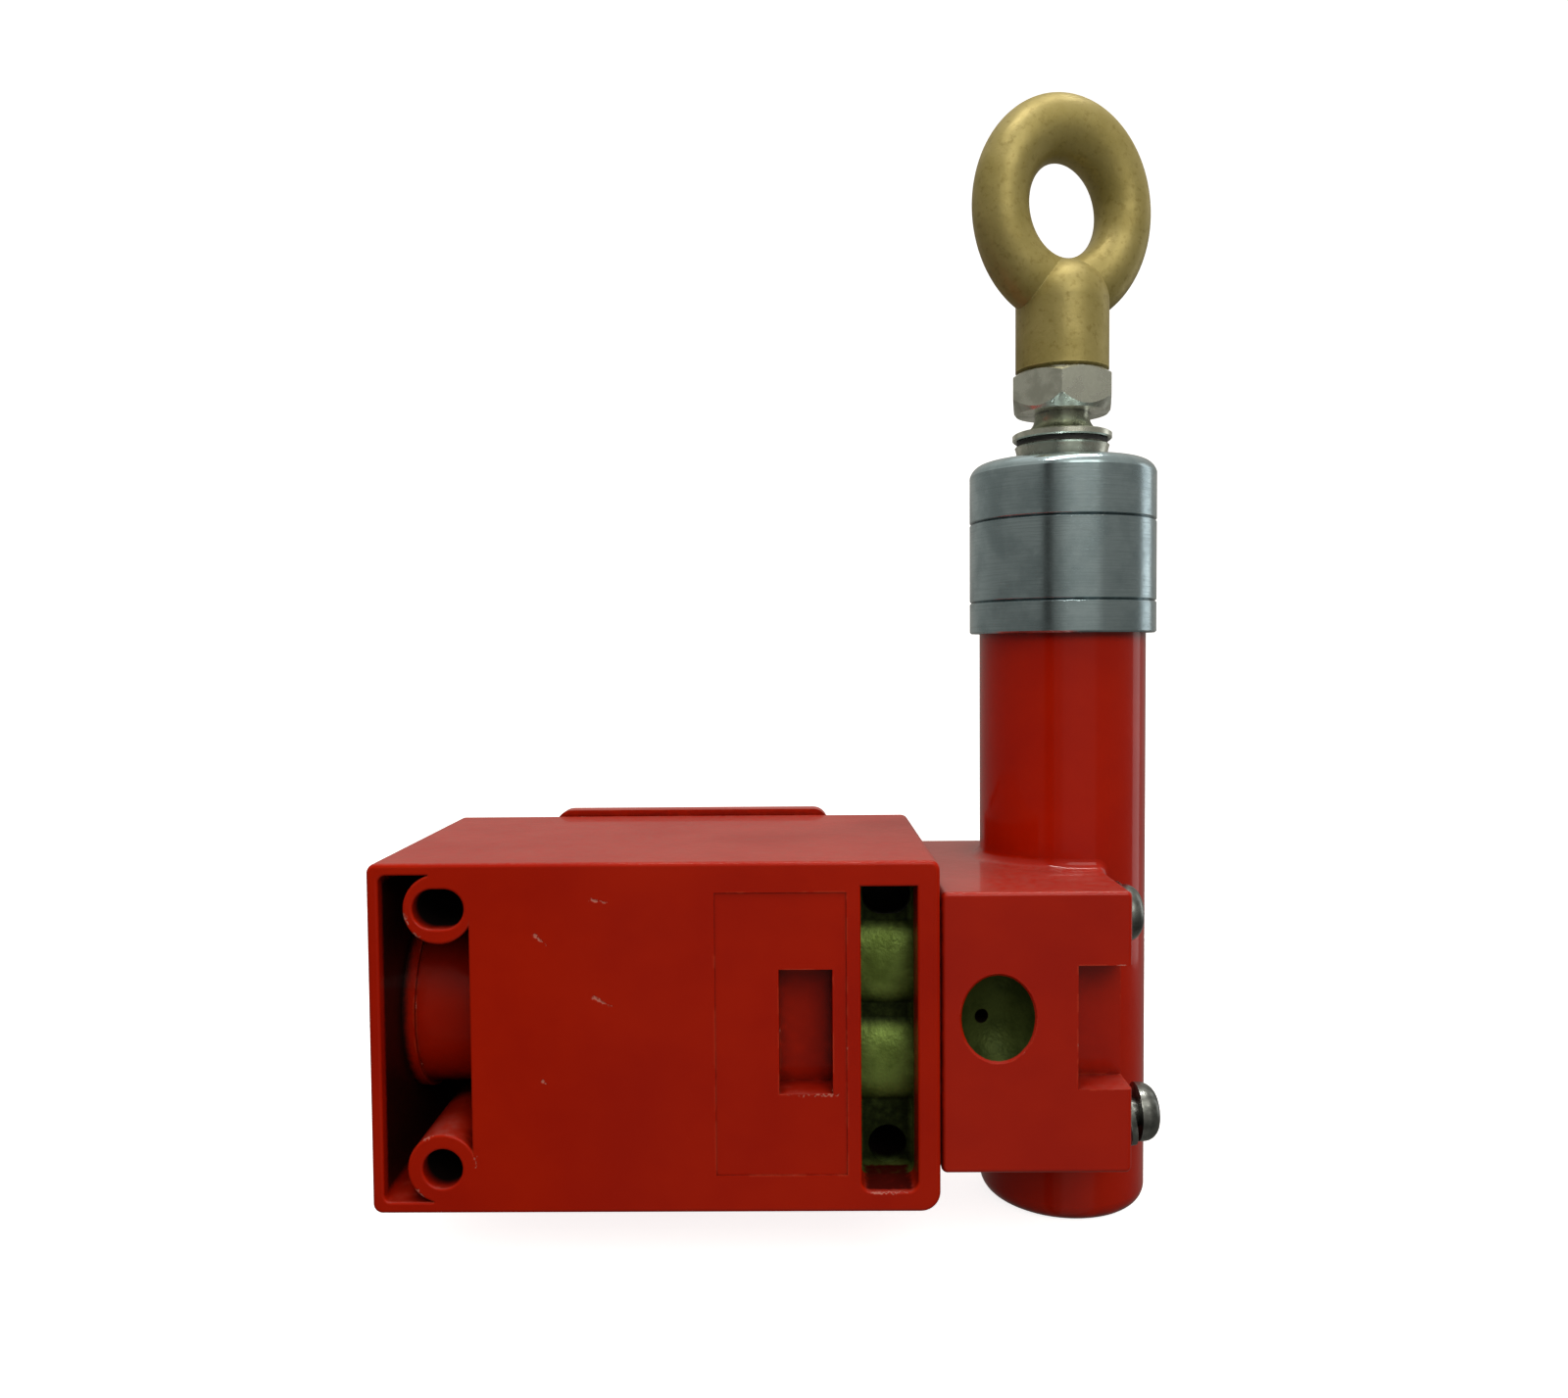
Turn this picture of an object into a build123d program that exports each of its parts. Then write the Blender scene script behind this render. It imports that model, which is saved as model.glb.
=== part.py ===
from build123d import *
import math
import os

# Rope-pull switch: a die-cast limit-switch body with a spring tube on its end.
# Units are millimetres. The origin is the middle of the fixing-hole pattern on the rear
# mounting face. +X runs from the conduit end to the spring tube, +Y from the mounting face
# to the front cover, and +Z along the pull.

os.makedirs("parts", exist_ok=True)

# ---------------------------------------------------------------- driving dimensions
# Clearances
press_gap = 0.02            # pressed or screwed pieces that stay together
run_gap = 0.05              # running fit of a moving piece in its guide
free_gap = 0.3              # moving pieces that only pass each other
seam = 0.25                 # chamfer that shows a joint line between turned rings

# Switch body
body_length = 76.0
body_height = 47.2
body_depth = 43.5
end_margin = 9.5            # fixing holes to the conduit end
corner_r = 1.3
foot_corner_r = 2.6         # lower corner beside the head
edge_r = 0.6
lip_r = 0.35                # rounded rims of the recesses and fixing bosses
thin_wall = 1.6
rear_wall = 3.0
side_wall = 2.4
hole_pitch_x = 60.0
hole_pitch_z = 35.0
fixing_hole_d = 5.3
fixing_slot_length = 6.8
fixing_boss_d = 9.4
chamber_to_holes = 9.1      # chamber side wall to the fixing-hole column

# Recesses in the mounting face
end_pocket_wall = 4.0       # fixing holes to the pocket's inner wall
end_pocket_floor = 3.5
slot_width = 7.5
slot_top = 20.2
slot_bottom = -20.8
slot_depth = 7.8
slot_corner_r = 1.4
bulge_r = 9.8
bulge_crest = 5.9
bulge_high_z = 8.2
bulge_low_z = -5.4
recess_width = 7.1
recess_height = 16.7
recess_mid_z = 0.75
recess_to_holes = 7.8       # recess edge to the fixing-hole column
recess_depth = 5.4
recess_pad_wall = 2.0
panel_width = 17.5
panel_top = 19.5
panel_bottom = -18.5
panel_to_slot = 1.9
panel_depth = 0.2

# Conduit entry
entry_bore_r = 9.25
entry_boss_r = 12.6
entry_y = 21.8
entry_ring_r = 13.3
entry_ring_length = 1.7

# Front cover
cover_side = 2.1            # cover past the chamber, each side
cover_over = 1.0            # cover past the body, top and bottom
cover_thickness = 4.4
cover_gasket_t = 0.6
cover_rib_depth = 2.5
cover_rib_width = 1.5
cover_boss_r = 4.2
cover_screw_r = 2.0
cover_screw_head_r = 3.5
cover_screw_head_h = 2.4
cover_screw_length = 12.0

# Head
head_gasket_t = 0.2
head_length = 25.4
head_top = 19.2
head_bottom = -18.75
head_step = 0.8             # head set back from the mounting face
head_back_step = 0.5        # head set back from the front face
head_corner_r = 0.8
spigot_r = 8.0
spigot_length = 5.4
head_screw_y = 10.5
head_screw_pitch_z = 28.4
head_screw_r = 2.0
head_screw_head_r = 4.0
head_screw_head_h = 2.9
head_screw_washer_r = 4.4
head_screw_washer_t = 0.8
loose_screw_out = 2.4       # how far the lower screw is backed out
loose_washer_tilt = 9.0
loose_washer_back = 1.4      # washer middle behind the screw head
loose_washer_drop = 0.2
inner_screw_y = 37.0
inner_screw_pitch_z = 20.8
inner_screw_thread = 9.0
inner_screw_head_r = 3.5
inner_screw_head_h = 2.6
notch_width = 7.2
notch_top = 9.3
notch_bottom = -7.4
notch_depth = 5.8
dish_x = 7.6                # from the head's joint face
dish_z = 2.2
dish_half_width = 5.15
dish_half_height = 6.1
dish_depth = 2.4
dish_pin_r = 0.9

# Spring tube and collar
tube_r = 12.5
tube_wall = 2.9
tube_floor = 2.6
tube_end_gap = 1.9          # under the end of the rod
tube_bottom_r = 2.5
tube_base_r = 1.6
tube_overhang = 9.2         # tube past the end of the head
tube_top = 53.7
neck_wall = 1.8
neck_length = 12.0
collar_step = 1.5           # collar past the tube
lock_ring_h = 4.8
collar_sleeve_h = 12.1
collar_cap_h = 9.6
cap_corner_h = 2.4          # rounded shoulder of the cap
cap_spigot_h = 4.2
bush_r = 6.0
bush_nose_r = 7.1
bush_nose_h = 2.2
wiper_t = 0.7
wiper_r = 6.8

# Pull rod and what rides on it
pull_travel = 12.0
rod_r = 4.0
rod_flange_r = 7.45
rod_flange_t = 1.1
rod_flare_h = 2.95
nut_af = 14.4
nut_h = 6.05
nut_turn = -12.8            # how far the nut is turned past square to the body
nut_bevel_low = 1.9         # height of the bevel at the corners, seat side
nut_bevel_high = 1.0
rod_in_eye = 12.0
seat_z = 12.0               # top of the spring seat
seat_h = 3.0
clip_t = 1.2
clip_r = 6.4
cam_slope = 0.25            # plunger travel for each millimetre of pull
cam_top_r = 4.9
cam_top_z = 3.5
cam_bore_r = 3.0
cam_land_h = 6.0
cam_nut_af = 10.0
cam_nut_h = 4.0
rod_tail = 0.8              # rod past its nut
spring_wire_r = 0.9
spring_turns = 10

# Rope eye
eye_shank_r = 7.0
eye_shank_h = 10.5
eye_ring_r = 10.4
eye_wire_r = 4.25
eye_stretch = 1.18          # the eye is taller than it is wide
eye_turn = 17.0             # how far the eye is screwed past square to the body

# Plunger and contact block
plunger_r = 3.0
plunger_bush_wall = 2.0
plunger_bush_length = 13.0
seal_r = 0.95
block_x0 = -12.0
block_x1 = 17.0
block_half_z = 15.0
block_behind = 10.4         # block rear to the plunger axis
block_front = 9.6           # plunger axis to the block front
block_wall = 3.0
cavity_half_z = 8.0
block_lid_t = 1.6
block_lid_rim = 1.0
terminal_z = 12.0
terminal_x = (-3.0, 8.0)
terminal_well_half = 3.0
terminal_well_length = 6.6
terminal_drop = 3.5         # block front to the terminal plates
strip_t = 0.8
strip_half = 2.8
block_screw_r = 1.5
block_screw_head_r = 2.7
block_screw_head_h = 1.9
terminal_screw_head_r = 2.2
carrier_left = -1.0
carrier_right = 12.0
carrier_half_y = 2.6
carrier_half_z = 3.5
stem_r = 2.4
stem_out = 0.5              # stem still clear of the block when pushed in
bridge_t = 0.7
bridge_half_y = 1.0
bridge_half_z = 7.2
contact_gap = 0.1
small_spring_r = 1.3
small_spring_wire = 0.2
return_coil_r = 2.2
return_coil_wire = 0.3
earth_x = -15.5
earth_z = -10.5
earth_post_r = 3.6
earth_post_top = 10.0
earth_screw_r = 2.0
earth_screw_head_r = 3.4
earth_screw_head_h = 2.2
earth_clamp_t = 1.0

# ---------------------------------------------------------------- derived places
hole_x = hole_pitch_x / 2
hole_z = hole_pitch_z / 2
body_left = -hole_x - end_margin
body_right = body_left + body_length
body_mid = (body_left + body_right) / 2
chamber_half_x = hole_x - chamber_to_holes
chamber_half_z = body_height / 2 - side_wall
cover_half_x = chamber_half_x + cover_side
cover_half_z = body_height / 2 + cover_over
cover_y = body_depth + cover_gasket_t
cover_screw_x = chamber_half_x - cover_boss_r + 1.8
cover_screw_z = chamber_half_z - cover_boss_r + 1.6
slot_left = hole_x - slot_width / 2 - 0.25
panel_right = slot_left - panel_to_slot
panel_left = panel_right - panel_width
end_pocket_right = -hole_x + end_pocket_wall

head_x = body_right + head_gasket_t
head_end = head_x + head_length
head_screw_z = head_screw_pitch_z / 2
inner_screw_z = inner_screw_pitch_z / 2
rod_x = head_end + tube_overhang - tube_r
rod_y = head_screw_y + head_screw_washer_r + 1.0 + tube_r
bore_r = tube_r - tube_wall
neck_r = bore_r + neck_wall
collar_r = tube_r + collar_step

lock_ring_z = tube_top
sleeve_z = lock_ring_z + lock_ring_h
cap_z = sleeve_z + collar_sleeve_h
cap_top = cap_z + collar_cap_h
spring_top = cap_z - cap_spigot_h
nose_top = cap_top + bush_nose_h
flange_z = nose_top + wiper_t + run_gap
nut_z = flange_z + rod_flange_t + rod_flare_h
eye_z = nut_z + nut_h
eye_centre_z = eye_z + eye_shank_h + eye_shank_r + (eye_ring_r - eye_wire_r) * eye_stretch

cam_cone_top = 0.5
cam_cone_bottom = -pull_travel - 1.5
cam_bottom_r = cam_top_r + cam_slope * (cam_cone_top - cam_cone_bottom)
cam_land_top = -pull_travel - plunger_r - 3.0
cam_land_bottom = cam_land_top - cam_land_h
cam_nut_bottom = cam_land_bottom - cam_nut_h
plunger_tip = rod_x - cam_top_r - free_gap
plunger_travel = pull_travel * cam_slope
stem_end = block_x1 + plunger_travel + stem_out
tube_bottom = cam_nut_bottom - rod_tail - tube_end_gap - tube_floor

block_y0 = rod_y - block_behind
block_y1 = rod_y + block_front
lid_y = block_y1 - block_lid_t
terminal_y = block_y1 - terminal_drop
cavity_left = block_x0 + block_wall
cavity_right = block_x1 - block_wall
block_screw_spots = ((block_x0 + 2.6, terminal_z), (block_x1 - 2.5, -terminal_z))
terminal_spots = [(x, side * terminal_z) for x in terminal_x for side in (-1, 1)]

# Planes: rod_plane holds radius and height for turned pieces on the pull axis, and
# plunger_plane holds radius and X for turned pieces on the plunger axis.
rod_plane = Plane(origin=(rod_x, rod_y, 0), x_dir=(1, 0, 0), z_dir=(0, -1, 0))
rod_axis = Axis((rod_x, rod_y, 0), (0, 0, 1))
plunger_plane = Plane(origin=(0, rod_y, 0), x_dir=(1, 0, 0), z_dir=(0, -1, 0))
plunger_axis = Axis((0, rod_y, 0), (1, 0, 0))


def face_at(y):
    """Plane at depth y with local X along X and local Y along Z; extrude(-t) goes to +Y."""
    return Plane.XZ.offset(-y)


def end_at(x):
    """Plane at x with local X along Y and local Y along Z; extrude(t) goes to +X."""
    return Plane.YZ.offset(x)


def coil_spring(length, radius, wire_r, turns):
    """Helical spring standing on the XY plane, its two end turns ground flat."""
    with BuildPart() as spring:
        with BuildLine(Plane.XY.offset(wire_r / 2)) as coil:
            Helix((length - wire_r) / turns, length - wire_r, radius)
        with BuildSketch(coil.line ^ 0):
            Circle(wire_r)
        sweep(is_frenet=True)
        split(bisect_by=Plane.XY, keep=Keep.TOP)
        split(bisect_by=Plane.XY.offset(length), keep=Keep.BOTTOM)
    return spring.part


# ---------------------------------------------------------------- body casting
with BuildPart() as body_casting:
    with BuildSketch(face_at(0)) as outline:
        with Locations((body_mid, 0)):
            Rectangle(body_length, body_height)
        corners = outline.vertices().sort_by(lambda v: v.X - v.Y)
        fillet(corners[:3], radius=corner_r)
        fillet(outline.vertices().sort_by(lambda v: v.X - v.Y)[-1], radius=foot_corner_r)
    extrude(amount=-body_depth)
    fillet(body_casting.faces().sort_by(Axis.Y)[0].edges(), radius=edge_r)

    # Wiring chamber under the front cover, with four screw bosses in its corners.
    with BuildSketch(face_at(rear_wall)):
        Rectangle(2 * chamber_half_x, 2 * chamber_half_z)
        with GridLocations(2 * cover_screw_x, 2 * cover_screw_z, 2, 2):
            Circle(cover_boss_r, mode=Mode.SUBTRACT)
    extrude(amount=rear_wall - body_depth, mode=Mode.SUBTRACT)
    with BuildSketch(face_at(body_depth)):
        with GridLocations(2 * cover_screw_x, 2 * cover_screw_z, 2, 2):
            Circle(cover_screw_r + press_gap)
    extrude(amount=cover_screw_length, mode=Mode.SUBTRACT)

    # Open pocket at the conduit end, around the two fixing bosses.
    with BuildSketch(face_at(0)) as pocket:
        with Locations(((body_left + thin_wall + end_pocket_right) / 2, 0)):
            Rectangle(end_pocket_right - body_left - thin_wall, body_height - 2 * thin_wall)
        fillet(pocket.vertices(), radius=1.0)
        for side in (1, -1):
            with Locations((-hole_x, side * hole_z)):
                Circle(fixing_boss_d / 2, mode=Mode.SUBTRACT)
            corner = ((end_pocket_right - hole_x) / 2, side * (body_height / 2 + hole_z) / 2)
            with Locations(corner):
                Rectangle(end_pocket_right + hole_x, body_height / 2 - hole_z, mode=Mode.SUBTRACT)
    extrude(amount=end_pocket_floor - body_depth, mode=Mode.SUBTRACT)

    # Conduit entry boss crossing the pocket, with a thicker ring at the end wall.
    with BuildSketch(end_at(body_left + thin_wall)):
        with Locations((entry_y, 0)):
            Circle(entry_boss_r)
    extrude(amount=end_pocket_right - body_left)
    with BuildSketch(end_at(body_left + thin_wall)):
        with Locations((entry_y, 0)):
            Circle(entry_ring_r)
    extrude(amount=entry_ring_length)
    with BuildSketch(end_at(body_left)):
        with Locations((entry_y, 0)):
            Circle(entry_bore_r)
    extrude(amount=-body_left - chamber_half_x + 1.0, mode=Mode.SUBTRACT)

    # Long slot over the other two fixing holes, with two rounded bulges on its floor.
    with BuildSketch(face_at(0)) as long_slot:
        with Locations((slot_left + slot_width / 2, (slot_top + slot_bottom) / 2)):
            Rectangle(slot_width, slot_top - slot_bottom)
        fillet(long_slot.vertices().group_by(Axis.Y)[0], radius=slot_corner_r)
    extrude(amount=-slot_depth, mode=Mode.SUBTRACT)
    with BuildSketch(end_at(slot_left)):
        with Locations((bulge_crest + bulge_r, bulge_high_z), (bulge_crest + bulge_r, bulge_low_z)):
            Circle(bulge_r)
    extrude(amount=slot_width)

    # Small rectangular recess and the pad that keeps the chamber closed behind it.
    recess_mid_x = hole_x - recess_to_holes - recess_width / 2
    with BuildSketch(face_at(rear_wall)):
        with Locations((recess_mid_x - recess_pad_wall / 2, recess_mid_z)):
            Rectangle(recess_width + recess_pad_wall, recess_height + 2 * recess_pad_wall)
    extrude(amount=rear_wall - recess_depth - recess_pad_wall)
    with BuildSketch(face_at(0)):
        with Locations((recess_mid_x, recess_mid_z)):
            Rectangle(recess_width, recess_height)
    extrude(amount=-recess_depth, mode=Mode.SUBTRACT)

    # Fixing holes: two round below, two slotted above.
    for x, y in ((-hole_x, 0), (hole_x, slot_depth)):
        with BuildSketch(face_at(y)):
            with Locations((x, -hole_z)):
                Circle(fixing_hole_d / 2)
            with Locations((x, hole_z)):
                SlotOverall(fixing_slot_length, fixing_hole_d)
        extrude(amount=y - body_depth, mode=Mode.SUBTRACT)

    # Cast rims of everything that opens on the mounting face.
    rear_face = body_casting.faces().filter_by(Axis.Y).sort_by(Axis.Y)[0]
    fillet(rear_face.inner_wires().edges(), radius=lip_r)

    # Shallow panel in the mounting face around the small recess.
    with BuildSketch(face_at(0)):
        with Locations(((panel_left + panel_right) / 2, (panel_top + panel_bottom) / 2)):
            Rectangle(panel_right - panel_left, panel_top - panel_bottom)
    extrude(amount=-panel_depth, mode=Mode.SUBTRACT)

    # Posts for the contact block and the earth screw, and their screw holes.
    with BuildSketch(face_at(rear_wall)):
        with Locations(*block_screw_spots):
            Circle(block_screw_head_r + 1.0)
    extrude(amount=rear_wall - block_y0)
    with BuildSketch(face_at(rear_wall)):
        with Locations((earth_x, earth_z)):
            Circle(earth_post_r)
    extrude(amount=rear_wall - earth_post_top)
    with BuildSketch(face_at(block_y0)):
        with Locations(*block_screw_spots):
            Circle(block_screw_r + press_gap)
    extrude(amount=9.0, mode=Mode.SUBTRACT)
    with BuildSketch(face_at(earth_post_top)):
        with Locations((earth_x, earth_z)):
            Circle(earth_screw_r + press_gap)
    extrude(amount=6.0, mode=Mode.SUBTRACT)

    # Bores in the head end: spigot seat, plunger passage and the head screws.
    with BuildSketch(end_at(body_right)):
        with Locations((rod_y, 0)):
            Circle(spigot_r + run_gap)
    extrude(amount=head_gasket_t - spigot_length - 0.1, mode=Mode.SUBTRACT)
    with BuildSketch(end_at(body_right)):
        with Locations((rod_y, 0)):
            Circle(plunger_r + 2 * free_gap)
        with Locations((inner_screw_y, inner_screw_z), (inner_screw_y, -inner_screw_z)):
            Circle(head_screw_r + 0.2)
    extrude(amount=chamber_half_x - body_right, mode=Mode.SUBTRACT)
    head_thread = body_right - hole_x - fixing_slot_length / 2 - 0.3
    with BuildSketch(end_at(body_right)):
        with Locations((head_screw_y, head_screw_z), (head_screw_y, -head_screw_z)):
            Circle(head_screw_r + press_gap)
    extrude(amount=-head_thread, mode=Mode.SUBTRACT)
body_casting.part.label = "body_casting"
export_step(body_casting.part, "parts/body_casting.step")

# ---------------------------------------------------------------- front cover and gasket
with BuildPart() as front_cover:
    with BuildSketch(face_at(cover_y)):
        RectangleRounded(2 * cover_half_x, 2 * cover_half_z, 2.5)
    extrude(amount=-cover_thickness)
    fillet(front_cover.faces().sort_by(Axis.Y)[-1].edges(), radius=1.2)
    with BuildSketch(face_at(cover_y - cover_gasket_t - cover_rib_depth)):
        Rectangle(2 * (chamber_half_x - free_gap), 2 * (chamber_half_z - free_gap))
        Rectangle(2 * (chamber_half_x - free_gap - cover_rib_width),
                  2 * (chamber_half_z - free_gap - cover_rib_width), mode=Mode.SUBTRACT)
        with GridLocations(2 * cover_screw_x, 2 * cover_screw_z, 2, 2):
            Circle(cover_boss_r + free_gap, mode=Mode.SUBTRACT)
    extrude(amount=-cover_rib_depth - cover_gasket_t)
    with BuildSketch(face_at(cover_y)):
        with GridLocations(2 * cover_screw_x, 2 * cover_screw_z, 2, 2):
            Circle(cover_screw_r + 0.2)
    extrude(amount=-cover_thickness, mode=Mode.SUBTRACT)
    with BuildSketch(face_at(cover_y + cover_thickness - cover_screw_head_h)):
        with GridLocations(2 * cover_screw_x, 2 * cover_screw_z, 2, 2):
            Circle(cover_screw_head_r + 0.3)
    extrude(amount=-cover_screw_head_h, mode=Mode.SUBTRACT)
front_cover.part.label = "front_cover"
export_step(front_cover.part, "parts/front_cover.step")

with BuildPart() as cover_gasket:
    with BuildSketch(face_at(body_depth)):
        Rectangle(2 * cover_half_x - 1.2, body_height - 1.2)
        Rectangle(2 * chamber_half_x, 2 * chamber_half_z, mode=Mode.SUBTRACT)
        with GridLocations(2 * cover_screw_x, 2 * cover_screw_z, 2, 2):
            Circle(cover_boss_r)
        with GridLocations(2 * cover_screw_x, 2 * cover_screw_z, 2, 2):
            Circle(cover_screw_r + 0.3, mode=Mode.SUBTRACT)
    extrude(amount=-cover_gasket_t)
cover_gasket.part.label = "cover_gasket"
export_step(cover_gasket.part, "parts/cover_gasket.step")

cover_head_y = cover_y + cover_thickness - cover_screw_head_h
with BuildPart() as cover_screws:
    with BuildSketch(face_at(cover_head_y)):
        with GridLocations(2 * cover_screw_x, 2 * cover_screw_z, 2, 2):
            Circle(cover_screw_head_r)
    extrude(amount=-cover_screw_head_h)
    fillet(cover_screws.faces().sort_by(Axis.Y)[-4:].edges(), radius=0.5)
    with BuildSketch(face_at(cover_head_y)):
        with GridLocations(2 * cover_screw_x, 2 * cover_screw_z, 2, 2):
            Circle(cover_screw_r)
    extrude(amount=cover_head_y - body_depth + cover_screw_length - 1.0)
    with BuildSketch(face_at(cover_head_y + cover_screw_head_h)):
        with GridLocations(2 * cover_screw_x, 2 * cover_screw_z, 2, 2):
            Rectangle(4.4, 0.8)
            Rectangle(0.8, 4.4)
    extrude(amount=1.4, mode=Mode.SUBTRACT)
cover_screws.part.label = "cover_screws"
export_step(cover_screws.part, "parts/cover_screws.step")

# ---------------------------------------------------------------- head casting and gasket
# The dish is the end of a ball, squeezed across and stretched along the pull.
dish_mean = (dish_half_width + dish_half_height) / 2
dish_ball_r = (dish_mean ** 2 + dish_depth ** 2) / (2 * dish_depth)
with BuildPart() as dish_ball:
    Sphere(dish_ball_r)
    scale(by=(dish_half_width / dish_mean, 1, dish_half_height / dish_mean))
dish = dish_ball.part

with BuildPart() as head_casting:
    with BuildSketch(face_at(head_step)):
        with Locations(((head_x + head_end) / 2, (head_top + head_bottom) / 2)):
            RectangleRounded(head_length, head_top - head_bottom, head_corner_r)
    extrude(amount=head_step + head_back_step - body_depth)
    fillet(head_casting.faces().sort_by(Axis.Y)[0].edges(), radius=edge_r)

    # Spring tube through the block, with a reduced neck for the collar.
    with BuildSketch(Plane.XY.offset(tube_bottom)):
        with Locations((rod_x, rod_y)):
            Circle(tube_r)
    extrude(amount=tube_top - tube_bottom)
    fillet(head_casting.faces().sort_by(Axis.Z)[0].edges(), radius=tube_bottom_r)
    base_arcs = head_casting.edges().filter_by(GeomType.CIRCLE)
    base_arcs = base_arcs.filter_by_position(Axis.Z, head_top - 0.01, head_top + 0.01)
    fillet(base_arcs, radius=tube_base_r)
    with BuildSketch(Plane.XY.offset(tube_top)):
        with Locations((rod_x, rod_y)):
            Circle(neck_r)
    extrude(amount=neck_length)

    # Spigot that seats in the body.
    with BuildSketch(end_at(head_x - spigot_length)):
        with Locations((rod_y, 0)):
            Circle(spigot_r)
    extrude(amount=spigot_length)

    # Tube bore and the plunger bush bore.
    with BuildSketch(Plane.XY.offset(tube_bottom + tube_floor)):
        with Locations((rod_x, rod_y)):
            Circle(bore_r)
    extrude(amount=tube_top + neck_length - tube_bottom - tube_floor, mode=Mode.SUBTRACT)
    with BuildSketch(end_at(head_x - spigot_length)):
        with Locations((rod_y, 0)):
            Circle(plunger_r + plunger_bush_wall + press_gap)
    extrude(amount=rod_x - head_x + spigot_length, mode=Mode.SUBTRACT)

    # Screw holes: clearance for the outer pair, threads for the inner pair.
    with BuildSketch(end_at(head_x)):
        with Locations((head_screw_y, head_screw_z), (head_screw_y, -head_screw_z)):
            Circle(head_screw_r + 0.2)
    extrude(amount=head_length, mode=Mode.SUBTRACT)
    with BuildSketch(end_at(head_x)):
        with Locations((inner_screw_y, inner_screw_z), (inner_screw_y, -inner_screw_z)):
            Circle(head_screw_r + press_gap)
    extrude(amount=inner_screw_thread, mode=Mode.SUBTRACT)

    # Notch open at the end of the block, between the two screws.
    with BuildSketch(face_at(head_step)):
        with Locations((head_end - notch_width / 2, (notch_top + notch_bottom) / 2)):
            Rectangle(notch_width, notch_top - notch_bottom)
    extrude(amount=-notch_depth, mode=Mode.SUBTRACT)

    # Dished recess with a pin hole beside its middle.
    add(dish.moved(Location((head_x + dish_x, head_step + dish_depth - dish_ball_r, dish_z))),
        mode=Mode.SUBTRACT)
    with BuildSketch(face_at(head_step)):
        with Locations((head_x + dish_x - 2.0, dish_z - 0.2)):
            Circle(dish_pin_r)
    extrude(amount=-dish_depth - 3.0, mode=Mode.SUBTRACT)
head_casting.part.label = "head_casting"
export_step(head_casting.part, "parts/head_casting.step")

with BuildPart() as head_gasket:
    with BuildSketch(end_at(body_right)):
        with Locations(((head_step + body_depth) / 2, (head_top + head_bottom) / 2)):
            Rectangle(body_depth - head_step - 2.2, head_top - head_bottom - 1.6)
        with Locations((rod_y, 0)):
            Circle(spigot_r + run_gap, mode=Mode.SUBTRACT)
        with Locations((head_screw_y, head_screw_z), (head_screw_y, -head_screw_z),
                       (inner_screw_y, inner_screw_z), (inner_screw_y, -inner_screw_z)):
            Circle(head_screw_r + 0.3, mode=Mode.SUBTRACT)
    extrude(amount=head_gasket_t)
head_gasket.part.label = "head_gasket"
export_step(head_gasket.part, "parts/head_gasket.step")

# Outer head screws: the upper one is tight, the lower one is backed out.
screw_reach = head_length + head_gasket_t + head_thread - 0.2
seat_upper = head_end + head_screw_washer_t
seat_lower = seat_upper + loose_screw_out
with BuildPart() as head_screws:
    for seat, z in ((seat_upper, head_screw_z), (seat_lower, -head_screw_z)):
        with BuildSketch(end_at(seat)):
            with Locations((head_screw_y, z)):
                Circle(head_screw_head_r)
        extrude(amount=head_screw_head_h)
        crown = head_screws.faces().filter_by(Axis.X).filter_by_position(
            Axis.Z, z - 0.1, z + 0.1).sort_by(Axis.X)[-1]
        fillet(crown.edges(), radius=2.2)
        with BuildSketch(end_at(seat)):
            with Locations((head_screw_y, z)):
                Circle(head_screw_r)
        extrude(amount=-screw_reach - head_screw_washer_t)
        with BuildSketch(end_at(seat + head_screw_head_h)):
            with Locations(Location((head_screw_y, z), 25.0)):
                Rectangle(5.0, 0.9)
                Rectangle(0.9, 5.0)
        extrude(amount=-1.5, mode=Mode.SUBTRACT)
head_screws.part.label = "head_screws"
export_step(head_screws.part, "parts/head_screws.step")

washer_bore_r = head_screw_r + 0.35
loose_plane = Plane(
    origin=(seat_lower - loose_washer_back, head_screw_y, -head_screw_z - loose_washer_drop),
    x_dir=(0, 1, 0),
    z_dir=(math.cos(math.radians(loose_washer_tilt)), 0, math.sin(math.radians(loose_washer_tilt))),
)
with BuildPart() as head_screw_washers:
    with BuildSketch(end_at(head_end)):
        with Locations((head_screw_y, head_screw_z)):
            Circle(head_screw_washer_r)
            Circle(washer_bore_r, mode=Mode.SUBTRACT)
    extrude(amount=head_screw_washer_t)
    with BuildSketch(loose_plane):
        Circle(head_screw_washer_r)
        Circle(washer_bore_r, mode=Mode.SUBTRACT)
    extrude(amount=head_screw_washer_t / 2, both=True)
head_screw_washers.part.label = "head_screw_washers"
export_step(head_screw_washers.part, "parts/head_screw_washers.step")

with BuildPart() as inner_head_screws:
    with BuildSketch(end_at(chamber_half_x)):
        with Locations((inner_screw_y, inner_screw_z), (inner_screw_y, -inner_screw_z)):
            Circle(inner_screw_head_r)
    extrude(amount=-inner_screw_head_h)
    with BuildSketch(end_at(chamber_half_x)):
        with Locations((inner_screw_y, inner_screw_z), (inner_screw_y, -inner_screw_z)):
            Circle(head_screw_r)
    extrude(amount=head_x - chamber_half_x + inner_screw_thread - 1.0)
inner_head_screws.part.label = "inner_head_screws"
export_step(inner_head_screws.part, "parts/inner_head_screws.step")

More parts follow.
